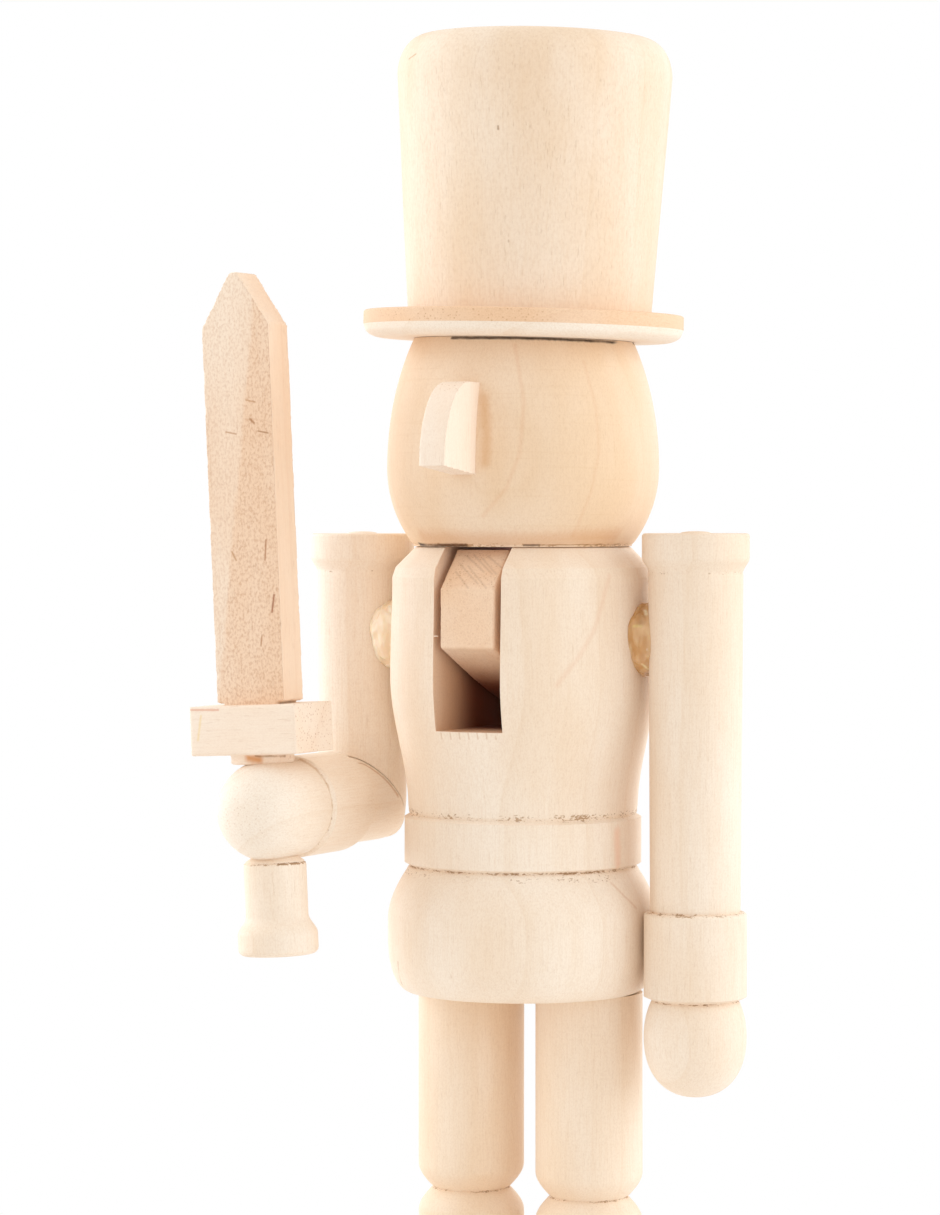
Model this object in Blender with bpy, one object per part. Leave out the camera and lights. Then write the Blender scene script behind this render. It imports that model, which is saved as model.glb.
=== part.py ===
"""Blank wooden nutcracker soldier: turned and sawn pieces glued up round a jaw lever.

The figure faces -Y and stands on z = 0, with the middle of its base at the origin.
Its own left side is +X. All sizes are in metres.
"""

import math

import bmesh
import bpy
from mathutils import Matrix, Vector

# Clearances
SEAM = 0.0003
DOWEL_FIT = 0.0002
DOWEL_END_PLAY = 0.0005
LEVER_SIDE_PLAY = 0.0013
BITE_GAP = 0.0008
LIP_CLEARANCE = 0.0018
FINGER_GAP = 0.0065

# Base
BASE_DIAMETER = 0.072
BASE_HEIGHT = 0.016
BASE_STEP_DIAMETER = 0.064
BASE_STEP_HEIGHT = 0.007
BASE_ROUND = 0.0026
EDGE_BREAK = 0.0006

# Legs and boots
LEG_DIAMETER = 0.0198
LEG_GAP = 0.0044
LEG_SETBACK = 0.003
BOOT_HEIGHT = 0.0242
TROUSER_HEIGHT = 0.0375
ANKLE_DIAMETER = 0.0144
ANKLE_ROUND = 0.0045
TOE_WIDTH = 0.017
TOE_HEIGHT = 0.0105
TOE_REACH = 0.0095

# Torso, turned in one piece with its belt and coat skirt
SKIRT_DIAMETER = 0.0499
SKIRT_TOP_DIAMETER = 0.0427
SKIRT_HEIGHT = 0.0233
SKIRT_SWELL = 0.0095
HEM_ROUND_DEPTH = 0.004
HEM_ROUND_HEIGHT = 0.009
BELT_DIAMETER = 0.0438
BELT_HEIGHT = 0.0094
GROOVE_DEPTH = 0.0009
GROOVE_WIDTH = 0.0011
CHEST_DIAMETER = 0.0491
CHEST_HEIGHT = 0.0493
CHEST_WIDEST = 0.0255
WAIST_DIAMETER = 0.0424
SHOULDER_DIAMETER = 0.0483
SHOULDER_DEPTH = 0.0044
SHOULDER_BEVEL = 0.0038
SHOULDER_HEIGHT = 0.0056

# Mouth slot, open to the front, the top and the back
SLOT_WIDTH = 0.0134
SLOT_DEPTH = 0.0332
SLOT_LIP = 0.0015

# Jaw lever
JAW_INSET = 0.0004
JAW_FACE_FOOT = 0.0151
JAW_FACE_DROP = 0.0075
JAW_CHAMFER = 0.0068
JAW_UNDERCUT_DEPTH = 0.0136
JAW_UNDERCUT_FOOT = 0.0088
BITE_LENGTH = 0.0075
JAW_UNDER_SLOPE = math.radians(20.7)
JAW_BACK_SLOPE = math.radians(24.0)
TAIL_END_LEVEL = 0.084
TAIL_ROOT_THICKNESS = 0.012
TAIL_END_THICKNESS = 0.009
TAIL_ROUND = 0.003
LEVER_ELBOW_ROUND = 0.014
LEVER_CROOK_ROUND = 0.012
LEVER_EDGE_BREAK = 0.0004
PIVOT_SETBACK = 0.004
PIVOT_LIFT = 0.014
PIN_DIAMETER = 0.0032
PIN_RECESS = 0.001

# Head and nose
HEAD_DIAMETER = 0.0502
HEAD_TOP_DIAMETER = 0.0406
HEAD_FOOT_DIAMETER = 0.0404
HEAD_HEIGHT = 0.0376
HEAD_WIDEST = 0.0142
NOSE_WIDTH = 0.005
NOSE_HEIGHT = 0.0166
NOSE_LIFT = 0.0127
NOSE_TOP_REACH = 0.0045
NOSE_TIP_REACH = 0.0124
NOSE_TIP_HEIGHT = 0.0015

# Hat
HAT_TILT = math.radians(1.4)
BRIM_DIAMETER = 0.0591
BRIM_THICKNESS = 0.0047
BRIM_EDGE_ROUND = 0.0004
BRIM_FOOT_ROUND = 0.0019
CROWN_OFFSET = 0.0012
CROWN_HEIGHT = 0.0501
CROWN_FOOT_DIAMETER = 0.0449
CROWN_DIAMETER = 0.0506
CROWN_ROUND_DEPTH = 0.005
CROWN_ROUND_HEIGHT = 0.007
CROWN_DOME = 0.0004

# Arms, both turned to one pattern
COLLAR_DIAMETER = 0.0195
COLLAR_HEIGHT = 0.0071
COLLAR_ROUND = 0.0016
COLLAR_BEAD = 0.0032
COLLAR_RISE = 0.0025
NUB_DIAMETER = 0.0056
NUB_HEIGHT = 0.0009
SLEEVE_TOP_DIAMETER = 0.0172
SLEEVE_CUFF_DIAMETER = 0.0164
SLEEVE_LENGTH = 0.0614
CUFF_DIAMETER = 0.0187
CUFF_LENGTH = 0.016
CUFF_ROUND = 0.0007
WRIST_DIAMETER = 0.0158
HAND_DIAMETER = 0.0187
HAND_LENGTH = 0.0176
HAND_WIDEST = 0.0066
ELBOW_DROP = 0.0499
FOREARM_SLEEVE = 0.0123
RIGHT_ARM_SETBACK = 0.0021
RIGHT_ARM_DROP = 0.0002

# Hot glue between each arm and the chest
GLUE_DROP = 0.0168
GLUE_HEIGHT = 0.0148
GLUE_DEPTH = 0.0138
GLUE_SPREAD = 0.0036

# Sword
SWORD_LEAN = math.radians(2.7)
BLADE_WIDTH = 0.0138
BLADE_THICKNESS = 0.0072
BLADE_LENGTH = 0.0779
BLADE_POINT = 0.0096
BLADE_TIP_WIDTH = 0.0016
TANG_SHOULDER = 0.0015
GUARD_LENGTH = 0.0218
GUARD_DEPTH = 0.0142
GUARD_HEIGHT = 0.009
GUARD_SHIFT = 0.0016
GUARD_WEB = 0.0012
GUARD_NECK_DIAMETER = 0.0116
GUARD_NECK_HEIGHT = 0.0006
SAWN_EDGE_BREAK = 0.0004
PEG_DIAMETER = 0.006
GRIP_DIAMETER = 0.0114
GRIP_LENGTH = 0.0094
POMMEL_DIAMETER = 0.0146
POMMEL_HEIGHT = 0.0072
POMMEL_ROUND = 0.0012

# Hidden dowels
DOWEL_DIAMETER = 0.006
NECK_DOWEL_DIAMETER = 0.005
HAT_DOWEL_DIAMETER = 0.008
DOWEL_DEPTH = 0.009
HAT_DOWEL_DEPTH = 0.011
DOWEL_FLOOR = 0.007

# Facets
BODY_SIDES = 44
LIMB_SIDES = 26
SMALL_SIDES = 16
CURVE_STEPS = 5
EDGE_STEPS = 3
CORNER_STEPS = 5
WELD = 0.000001
SHARP_ANGLE = math.radians(35.0)

# Levels and places that follow from the sizes
FOOT_LEVEL = BASE_HEIGHT + SEAM
LEG_HEIGHT = BOOT_HEIGHT + TROUSER_HEIGHT
HIP_LEVEL = FOOT_LEVEL + LEG_HEIGHT + SEAM
BELT_LEVEL = HIP_LEVEL + SKIRT_HEIGHT
WAIST_LEVEL = BELT_LEVEL + BELT_HEIGHT
SHOULDER_LEVEL = WAIST_LEVEL + CHEST_HEIGHT
HEAD_LEVEL = SHOULDER_LEVEL + SEAM
HAT_LEVEL = HEAD_LEVEL + HEAD_HEIGHT
COLLAR_LEVEL = SHOULDER_LEVEL + COLLAR_RISE
SLOT_FLOOR_LEVEL = SHOULDER_LEVEL - SLOT_DEPTH
SLOT_LIP_LEVEL = WAIST_LEVEL + SLOT_LIP
PIVOT_LEVEL = SLOT_FLOOR_LEVEL + PIVOT_LIFT
LEVER_WIDTH = SLOT_WIDTH - 2 * LEVER_SIDE_PLAY
LEG_OFFSET = (LEG_DIAMETER + LEG_GAP) / 2
NECK_DIAMETER = SHOULDER_DIAMETER - 2 * SHOULDER_DEPTH
NECK_DOWEL_OFFSET = (SLOT_WIDTH + NECK_DIAMETER) / 4
ARM_OFFSET = max(SKIRT_DIAMETER + CUFF_DIAMETER, CHEST_DIAMETER + COLLAR_DIAMETER) / 2 + SEAM
ARM_GAP = ARM_OFFSET - (CHEST_DIAMETER + SLEEVE_TOP_DIAMETER) / 2
HAND_CENTRE = FOREARM_SLEEVE + CUFF_LENGTH + HAND_WIDEST
PEG_DEPTH = (GUARD_HEIGHT - GUARD_WEB) / 2
MITRE = Vector((0.0, 1.0, 1.0)).normalized()

# Sides of the figure, as the sign of X
SIDES = {"left": 1.0, "right": -1.0}

# Finishes: colour, roughness, metallic
TURNED_WOOD = ((0.88, 0.68, 0.45, 1.0), 0.6, 0.0)
SAWN_WOOD = ((0.78, 0.54, 0.36, 1.0), 0.75, 0.0)
DOWEL_WOOD = ((0.72, 0.52, 0.33, 1.0), 0.7, 0.0)
HOT_GLUE = ((0.85, 0.62, 0.32, 1.0), 0.28, 0.0)
STEEL = ((0.56, 0.57, 0.58, 1.0), 0.35, 1.0)


def clear_scene():
    """Remove whatever the scene holds."""
    for item in list(bpy.data.objects):
        bpy.data.objects.remove(item, do_unlink=True)


# Profile curves, as (radius, height) points


def quarter(flat, upright, steps=CURVE_STEPS):
    """Quarter of an ellipse from a point where it runs level to one where it runs upright."""
    points = []
    for step in range(steps + 1):
        turn = math.pi / 2 * step / steps
        radius = flat[0] + (upright[0] - flat[0]) * math.sin(turn)
        height = upright[1] + (flat[1] - upright[1]) * math.cos(turn)
        points.append((radius, height))
    return points


def top_edge(radius, top, rounding, steps=EDGE_STEPS):
    """Rounded upper edge of a turned step, from its flat top to its side."""
    return quarter((radius - rounding, top), (radius, top - rounding), steps)


def foot_edge(radius, foot, rounding, steps=EDGE_STEPS):
    """Rounded lower edge of a turned step, from its side to its flat foot."""
    return quarter((radius - rounding, foot), (radius, foot + rounding), steps)[::-1]


def swell(start, end):
    """Quarter of a sine wave that leaves the start at a slope and arrives upright."""
    points = []
    for step in range(CURVE_STEPS + 1):
        share = step / CURVE_STEPS
        radius = start[0] + (end[0] - start[0]) * math.sin(math.pi / 2 * share)
        points.append((radius, start[1] + (end[1] - start[1]) * share))
    return points


def ease(start, end, steps=CURVE_STEPS):
    """Half of a cosine wave, upright at both ends."""
    points = []
    for step in range(steps + 1):
        share = step / steps
        radius = start[0] + (end[0] - start[0]) * (1 - math.cos(math.pi * share)) / 2
        points.append((radius, start[1] + (end[1] - start[1]) * share))
    return points


def barrel(widest, end, reach=1.0):
    """Part of an ellipse from its widest point through the end, run on past it by a share of its height."""
    drawn_in = math.sqrt(1 - (end[0] / widest[0]) ** 2)
    half_height = (end[1] - widest[1]) / drawn_in
    last = math.asin(min(drawn_in * reach, 1.0))
    points = []
    for step in range(CURVE_STEPS + 1):
        turn = last * step / CURVE_STEPS
        points.append((widest[0] * math.cos(turn), widest[1] + half_height * math.sin(turn)))
    return points


def grown(profile, margin):
    """A turned profile with its radii grown by a margin."""
    return [(radius + margin if radius > 0 else 0.0, height) for radius, height in profile]


# Mesh makers


def to_mesh(shape):
    """Close a bmesh into a smooth-shaded mesh with its faces pointing out."""
    bmesh.ops.recalc_face_normals(shape, faces=shape.faces)
    mesh = bpy.data.meshes.new("shape")
    shape.to_mesh(mesh)
    shape.free()
    mesh.shade_smooth()
    mesh.set_sharp_from_angle(angle=SHARP_ANGLE)
    return mesh


def lathe(profile, sides):
    """Turn a profile about Z. It runs from the top of the axis down to its foot."""
    shape = bmesh.new()
    points = [shape.verts.new((radius, 0.0, height)) for radius, height in profile]
    edges = [shape.edges.new(pair) for pair in zip(points, points[1:])]
    bmesh.ops.spin(
        shape,
        geom=points + edges,
        cent=(0.0, 0.0, 0.0),
        axis=(0.0, 0.0, 1.0),
        angle=math.tau,
        steps=sides,
        use_merge=True,
    )
    bmesh.ops.remove_doubles(shape, verts=shape.verts, dist=WELD)
    return to_mesh(shape)


def rod(radius, foot, top, sides=SMALL_SIDES):
    """Plain round rod on Z."""
    return lathe([(0.0, top), (radius, top), (radius, foot), (0.0, foot)], sides)


def ovoid(half_width, half_depth, half_height, sides):
    """Egg-shaped solid round the origin."""
    upper = quarter((0.0, half_height), (half_width, 0.0))
    lower = quarter((0.0, -half_height), (half_width, 0.0))
    mesh = lathe(upper + lower[-2::-1], sides)
    mesh.transform(Matrix.Diagonal((1.0, half_depth / half_width, 1.0, 1.0)))
    return mesh


def prism(outline, thickness):
    """Push an outline in the YZ plane out along X to a thickness, centred on x = 0."""
    shape = bmesh.new()
    face = shape.faces.new([shape.verts.new((-thickness / 2, y, z)) for y, z in outline])
    pushed = bmesh.ops.extrude_face_region(shape, geom=[face], use_keep_orig=True)
    moved = [item for item in pushed["geom"] if isinstance(item, bmesh.types.BMVert)]
    bmesh.ops.translate(shape, verts=moved, vec=(thickness, 0.0, 0.0))
    return to_mesh(shape)


def block(length, depth, foot, top):
    """Box centred on the Z axis between two heights."""
    return prism([(-depth / 2, foot), (depth / 2, foot), (depth / 2, top), (-depth / 2, top)], length)


def saw(mesh, point, normal):
    """Take off what lies beyond a plane, on the side its normal points to, and close the cut."""
    shape = bmesh.new()
    shape.from_mesh(mesh)
    cut_geometry = bmesh.ops.bisect_plane(
        shape,
        geom=shape.verts[:] + shape.edges[:] + shape.faces[:],
        plane_co=point,
        plane_no=normal,
        clear_outer=True,
    )["geom_cut"]
    rim = [item for item in cut_geometry if isinstance(item, bmesh.types.BMEdge)]
    bmesh.ops.edgeloop_fill(shape, edges=rim)
    return to_mesh(shape)


def rounded_outline(corners):
    """Closed outline through (y, z, radius) corners, each an arc of its radius, or sharp where it has none."""
    outline = []
    for index, (y, z, radius) in enumerate(corners):
        if radius == 0.0:
            outline.append((y, z))
            continue
        corner = Vector((y, z))
        before = (Vector(corners[index - 1][:2]) - corner).normalized()
        after = (Vector(corners[(index + 1) % len(corners)][:2]) - corner).normalized()
        half_angle = before.angle(after) / 2
        centre = corner + (before + after).normalized() * (radius / math.sin(half_angle))
        tangent = radius / math.tan(half_angle)
        first = corner + before * tangent - centre
        last = corner + after * tangent - centre
        start = math.atan2(first.y, first.x)
        sweep = math.remainder(math.atan2(last.y, last.x) - start, math.tau)
        for step in range(CORNER_STEPS + 1):
            turn = start + sweep * step / CORNER_STEPS
            outline.append((centre.x + radius * math.cos(turn), centre.y + radius * math.sin(turn)))
    return outline


# Objects


def add_object(name, mesh, location, parent):
    """Put a mesh in the scene under a name."""
    item = bpy.data.objects.new(name, mesh)
    mesh.name = name
    bpy.context.scene.collection.objects.link(item)
    item.location = location
    item.parent = parent
    return item


def add_piece(name, mesh, finish, location=(0.0, 0.0, 0.0), parent=None):
    """Add one real piece with a material of its own."""
    colour, roughness, metallic = finish
    material = bpy.data.materials.new(name)
    material.use_nodes = True
    shader = material.node_tree.nodes["Principled BSDF"]
    shader.inputs["Base Color"].default_value = colour
    shader.inputs["Roughness"].default_value = roughness
    shader.inputs["Metallic"].default_value = metallic
    mesh.materials.append(material)
    return add_object(name, mesh, location, parent)


def add_cutter(name, mesh, location=(0.0, 0.0, 0.0), parent=None):
    """Add a tool shape that only cuts other pieces."""
    item = add_object(name, mesh, location, parent)
    item.hide_render = True
    item.display_type = "WIRE"
    return item


def cut(piece, cutter):
    """Subtract a cutter from a piece."""
    modifier = piece.modifiers.new(cutter.name, "BOOLEAN")
    modifier.operation = "DIFFERENCE"
    modifier.solver = "EXACT"
    modifier.object = cutter


def break_edges(piece, width):
    """Take the sharp corners off a sawn piece."""
    modifier = piece.modifiers.new("broken_edges", "BEVEL")
    modifier.width = width
    modifier.segments = 1
    modifier.limit_method = "ANGLE"
    modifier.angle_limit = SHARP_ANGLE


def add_dowel(name, diameter, foot, top, pieces, location, parent=None):
    """Add an upright dowel and drill its hole through the pieces that it joins."""
    radius = diameter / 2
    chamfered = [
        (0.0, top),
        (radius - EDGE_BREAK, top),
        (radius, top - EDGE_BREAK),
        (radius, foot + EDGE_BREAK),
        (radius - EDGE_BREAK, foot),
        (0.0, foot),
    ]
    dowel = add_piece(name, lathe(chamfered, SMALL_SIDES), DOWEL_WOOD, location, parent)
    hole = rod(radius + DOWEL_FIT, foot - DOWEL_END_PLAY, top + DOWEL_END_PLAY)
    bore = add_cutter(name + "_hole", hole, location, parent)
    for piece in pieces:
        cut(piece, bore)
    return dowel


# Base, legs and boots


def make_base():
    """Round plinth in two tiers."""
    step_radius = BASE_STEP_DIAMETER / 2
    radius = BASE_DIAMETER / 2
    step_foot = BASE_HEIGHT - BASE_STEP_HEIGHT
    profile = [(0.0, BASE_HEIGHT)]
    profile += top_edge(step_radius, BASE_HEIGHT, BASE_ROUND)
    profile += [(step_radius, step_foot)]
    profile += top_edge(radius, step_foot, BASE_ROUND)
    profile += [(radius, EDGE_BREAK), (radius - EDGE_BREAK, 0.0), (0.0, 0.0)]
    return add_piece("base", lathe(profile, BODY_SIDES), TURNED_WOOD)


def leg_profile():
    """Leg with its boot below a turned ankle groove, from its top down to its sole."""
    radius = LEG_DIAMETER / 2
    ankle = (ANKLE_DIAMETER / 2, BOOT_HEIGHT)
    profile = [(0.0, LEG_HEIGHT), (radius, LEG_HEIGHT)]
    profile += swell(ankle, (radius, BOOT_HEIGHT + ANKLE_ROUND))[::-1]
    profile += swell(ankle, (radius, BOOT_HEIGHT - ANKLE_ROUND))[1:]
    profile += [(radius, EDGE_BREAK), (radius - EDGE_BREAK, 0.0), (0.0, 0.0)]
    return profile


def make_leg(side, base, torso):
    """One leg with its toe cap, dowelled to the base below and the torso above."""
    place = (SIDES[side] * LEG_OFFSET, LEG_SETBACK, FOOT_LEVEL)
    leg = add_piece("leg_" + side, lathe(leg_profile(), LIMB_SIDES), TURNED_WOOD, place)
    toe_length = LEG_DIAMETER / 2 + TOE_REACH
    toe_mesh = ovoid(TOE_WIDTH / 2, toe_length, TOE_HEIGHT, SMALL_SIDES)
    toe_mesh = saw(toe_mesh, (0.0, 0.0, 0.0), (0.0, 0.0, -1.0))
    toe_mesh = saw(toe_mesh, (0.0, 0.0, 0.0), (0.0, 1.0, 0.0))
    toe = add_piece("toe_cap_" + side, toe_mesh, TURNED_WOOD, place)
    boot_clearance = rod(LEG_DIAMETER / 2 + SEAM, -TOE_HEIGHT, 2 * TOE_HEIGHT, LIMB_SIDES)
    cut(toe, add_cutter("boot_clearance_" + side, boot_clearance, place))
    in_base = DOWEL_FLOOR + DOWEL_END_PLAY - FOOT_LEVEL
    add_dowel("foot_dowel_" + side, DOWEL_DIAMETER, in_base, DOWEL_DEPTH, (base, leg), place)
    hip = (place[0], LEG_SETBACK, HIP_LEVEL)
    add_dowel("hip_dowel_" + side, DOWEL_DIAMETER, -DOWEL_DEPTH, DOWEL_DEPTH, (leg, torso), hip)


# Torso and its mouth slot


def torso_profile():
    """Chest, belt and coat skirt from the neck down to the hem, above the foot of the skirt."""
    belt = SKIRT_HEIGHT
    waist = belt + BELT_HEIGHT
    top = waist + CHEST_HEIGHT
    half_groove = GROOVE_WIDTH / 2
    groove_radius = BELT_DIAMETER / 2 - GROOVE_DEPTH
    belt_radius = BELT_DIAMETER / 2
    chest = (CHEST_DIAMETER / 2, waist + CHEST_WIDEST)
    shoulder = (SHOULDER_DIAMETER / 2, top - SHOULDER_HEIGHT)
    skirt_radius = SKIRT_DIAMETER / 2
    profile = [(0.0, top)]
    bevel = (NECK_DIAMETER / 2 + SHOULDER_BEVEL, top - SHOULDER_BEVEL)
    profile += [(NECK_DIAMETER / 2, top), bevel, shoulder]
    profile += ease(shoulder, chest, EDGE_STEPS)[1:]
    profile += ease(chest, (WAIST_DIAMETER / 2, waist + half_groove))[1:]
    profile += [(groove_radius, waist), (belt_radius, waist - half_groove)]
    profile += [(belt_radius, belt + half_groove), (groove_radius, belt)]
    skirt_top = (SKIRT_TOP_DIAMETER / 2, belt - half_groove)
    profile += swell(skirt_top, (skirt_radius, skirt_top[1] - SKIRT_SWELL))
    hem = (skirt_radius - HEM_ROUND_DEPTH, 0.0)
    profile += quarter(hem, (skirt_radius, HEM_ROUND_HEIGHT))[::-1]
    profile += [(0.0, 0.0)]
    return profile


def make_torso():
    """Turned torso with the slot for the jaw lever cut through it from front to back."""
    torso = add_piece("torso", lathe(torso_profile(), BODY_SIDES), TURNED_WOOD, (0.0, 0.0, HIP_LEVEL))
    clear = CHEST_DIAMETER
    above = SHOULDER_LEVEL + SHOULDER_HEIGHT
    outline = [
        (-clear, SLOT_FLOOR_LEVEL),
        (0.0, SLOT_FLOOR_LEVEL),
        (WAIST_DIAMETER / 2, SLOT_LIP_LEVEL),
        (clear, SLOT_LIP_LEVEL),
        (clear, above),
        (-clear, above),
    ]
    cut(torso, add_cutter("mouth_slot", prism(outline, SLOT_WIDTH)))
    return torso


# Jaw lever


def on_line(start, end, height):
    """Where a straight line through two (y, z) points meets a height."""
    share = (height - start[1]) / (end[1] - start[1])
    return start[0] + (end[0] - start[0]) * share


def meet(point, slope, start, end):
    """Where a line falling backwards from a point meets the line through two others."""
    fall = math.tan(slope)
    lean = (end[0] - start[0]) / (end[1] - start[1])
    z = (point[1] - (start[0] - lean * start[1] - point[0]) * fall) / (1 + lean * fall)
    return on_line(start, end, z), z


def lever_corners():
    """Side view of the lever: jaw at the front, an arm that falls backwards, and a tail that hangs behind."""
    chest_radius = CHEST_DIAMETER / 2
    front = JAW_INSET - math.sqrt(chest_radius ** 2 - (LEVER_WIDTH / 2) ** 2)
    bite = HEAD_LEVEL - BITE_GAP
    bite_front = front + JAW_CHAMFER
    bite_back = (bite_front + BITE_LENGTH, bite)
    undercut = (front + JAW_UNDERCUT_DEPTH, SLOT_FLOOR_LEVEL + JAW_UNDERCUT_FOOT)
    inner_root = (WAIST_DIAMETER / 2 + LIP_CLEARANCE, SLOT_LIP_LEVEL)
    inner_end = (SKIRT_DIAMETER / 2 + FINGER_GAP, TAIL_END_LEVEL)
    outer_root = (inner_root[0] + TAIL_ROOT_THICKNESS, SLOT_LIP_LEVEL)
    outer_end = (inner_end[0] + TAIL_END_THICKNESS, TAIL_END_LEVEL)
    elbow = meet(bite_back, JAW_BACK_SLOPE, outer_root, outer_end)
    crook = meet(undercut, JAW_UNDER_SLOPE, inner_root, inner_end)
    tail_round = min(TAIL_ROUND, TAIL_END_THICKNESS / 3)
    return [
        (front, SLOT_FLOOR_LEVEL + JAW_FACE_FOOT, 0.0),
        (front, SHOULDER_LEVEL - JAW_FACE_DROP, 0.0),
        (bite_front, bite, 0.0),
        (*bite_back, LEVER_CROOK_ROUND),
        (*elbow, LEVER_ELBOW_ROUND),
        (*outer_end, tail_round),
        (*inner_end, tail_round),
        (*crook, LEVER_CROOK_ROUND),
        (*undercut, LEVER_CROOK_ROUND),
    ]


def make_jaw(torso):
    """Lever on its cross pin. Both have their origin on the pin's axis."""
    pivot = (0.0, PIVOT_SETBACK, PIVOT_LEVEL)
    outline = [(y - PIVOT_SETBACK, z - PIVOT_LEVEL) for y, z in rounded_outline(lever_corners())]
    lever = add_piece("jaw_lever", prism(outline, LEVER_WIDTH), SAWN_WOOD, pivot)
    break_edges(lever, LEVER_EDGE_BREAK)
    half_length = math.sqrt((CHEST_DIAMETER / 2) ** 2 - PIVOT_SETBACK ** 2) - PIN_RECESS
    radius = PIN_DIAMETER / 2
    upright_to_across = Matrix.Rotation(math.pi / 2, 4, "Y")
    pin_mesh = rod(radius, -half_length, half_length)
    pin_mesh.transform(upright_to_across)
    add_piece("jaw_pin", pin_mesh, STEEL, pivot)
    hole_mesh = rod(radius + DOWEL_FIT, -CHEST_DIAMETER, CHEST_DIAMETER)
    hole_mesh.transform(upright_to_across)
    hole = add_cutter("jaw_pin_hole", hole_mesh, pivot)
    cut(torso, hole)
    cut(lever, hole)


# Head, nose and hat


def head_profile():
    """Barrel of the head, run a little past its seat so that the seat can be sawn at the hat's tilt."""
    radius = HEAD_DIAMETER / 2
    widest = (radius, HEAD_WIDEST)
    top = (HEAD_TOP_DIAMETER / 2, HEAD_HEIGHT)
    past_seat = 1 + 2 * HEAD_TOP_DIAMETER / 2 * math.sin(HAT_TILT) / (HEAD_HEIGHT - HEAD_WIDEST)
    upper = barrel(widest, top, past_seat)
    lower = barrel(widest, (HEAD_FOOT_DIAMETER / 2, 0.0))
    return [(0.0, upper[-1][1])] + upper[::-1] + lower[1:] + [(0.0, 0.0)]


def make_head(torso):
    """Head with its top sawn square to the hat, on two dowels beside the mouth slot."""
    square_to_hat = (math.sin(HAT_TILT), 0.0, math.cos(HAT_TILT))
    mesh = saw(lathe(head_profile(), BODY_SIDES), (0.0, 0.0, HEAD_HEIGHT), square_to_hat)
    head = add_piece("head", mesh, TURNED_WOOD, (0.0, 0.0, HEAD_LEVEL))
    for side, sign in SIDES.items():
        place = (sign * NECK_DOWEL_OFFSET, 0.0, HEAD_LEVEL)
        add_dowel("neck_dowel_" + side, NECK_DOWEL_DIAMETER, -DOWEL_DEPTH, DOWEL_DEPTH, (torso, head), place)
    return head


def make_nose():
    """Sawn wedge of a nose with a bowed ridge, its back cut to the round of the head."""
    head_radius = HEAD_DIAMETER / 2
    tip = (head_radius + NOSE_TIP_REACH, NOSE_TIP_HEIGHT)
    brow = (head_radius - NOSE_TOP_REACH / 2 + NOSE_TOP_REACH, NOSE_HEIGHT)
    ridge = quarter(brow, tip)
    outline = [(-reach, height) for reach, height in ridge]
    outline += [(-tip[0], 0.0), (0.0, 0.0), (0.0, NOSE_HEIGHT)]
    nose = add_piece("nose", prism(outline, NOSE_WIDTH), SAWN_WOOD, (0.0, 0.0, HEAD_LEVEL + NOSE_LIFT))
    break_edges(nose, SAWN_EDGE_BREAK)
    seat = lathe(grown(head_profile(), SEAM), BODY_SIDES)
    cut(nose, add_cutter("nose_seat", seat, (0.0, 0.0, HEAD_LEVEL)))


def make_hat(head):
    """Brim and crown on a dowel through both, all leaning with the sawn top of the head."""
    seat = bpy.data.objects.new("hat_seat", None)
    bpy.context.scene.collection.objects.link(seat)
    seat.location = (0.0, 0.0, HAT_LEVEL)
    seat.rotation_euler = (0.0, HAT_TILT, 0.0)
    brim_radius = BRIM_DIAMETER / 2
    profile = [(0.0, BRIM_THICKNESS)]
    profile += top_edge(brim_radius, BRIM_THICKNESS, BRIM_EDGE_ROUND)
    profile += foot_edge(brim_radius, 0.0, BRIM_FOOT_ROUND, CURVE_STEPS)
    profile += [(0.0, 0.0)]
    brim = add_piece("hat_brim", lathe(profile, BODY_SIDES), TURNED_WOOD, (0.0, 0.0, SEAM), seat)
    radius = CROWN_DIAMETER / 2
    flat = (radius - CROWN_ROUND_DEPTH, CROWN_HEIGHT)
    crown_profile = [(0.0, CROWN_HEIGHT + CROWN_DOME)]
    crown_profile += quarter(flat, (radius, CROWN_HEIGHT - CROWN_ROUND_HEIGHT))
    crown_profile += [(CROWN_FOOT_DIAMETER / 2, 0.0), (0.0, 0.0)]
    crown_foot = BRIM_THICKNESS + 2 * SEAM
    place = (CROWN_OFFSET, 0.0, crown_foot)
    crown = add_piece("hat_crown", lathe(crown_profile, BODY_SIDES), TURNED_WOOD, place, seat)
    dowel_top = crown_foot + HAT_DOWEL_DEPTH
    joined = (head, brim, crown)
    add_dowel("hat_dowel", HAT_DOWEL_DIAMETER, -HAT_DOWEL_DEPTH, dowel_top, joined, (0.0, 0.0, 0.0), seat)


# Arms


def sleeve_radius(below_collar):
    """Radius of the tapered sleeve at a distance below the collar."""
    share = below_collar / SLEEVE_LENGTH
    return (SLEEVE_TOP_DIAMETER + (SLEEVE_CUFF_DIAMETER - SLEEVE_TOP_DIAMETER) * share) / 2


def collar_profile():
    """Lathe nub and shoulder collar, down to the top of the sleeve."""
    radius = COLLAR_DIAMETER / 2
    widest = (radius, -COLLAR_BEAD)
    profile = quarter((0.0, NUB_HEIGHT), (NUB_DIAMETER / 2, 0.0), EDGE_STEPS)
    profile += quarter((radius - COLLAR_ROUND, 0.0), widest, EDGE_STEPS)
    profile += ease(widest, (sleeve_radius(0.0), -COLLAR_HEIGHT), EDGE_STEPS)[1:]
    return profile


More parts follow.
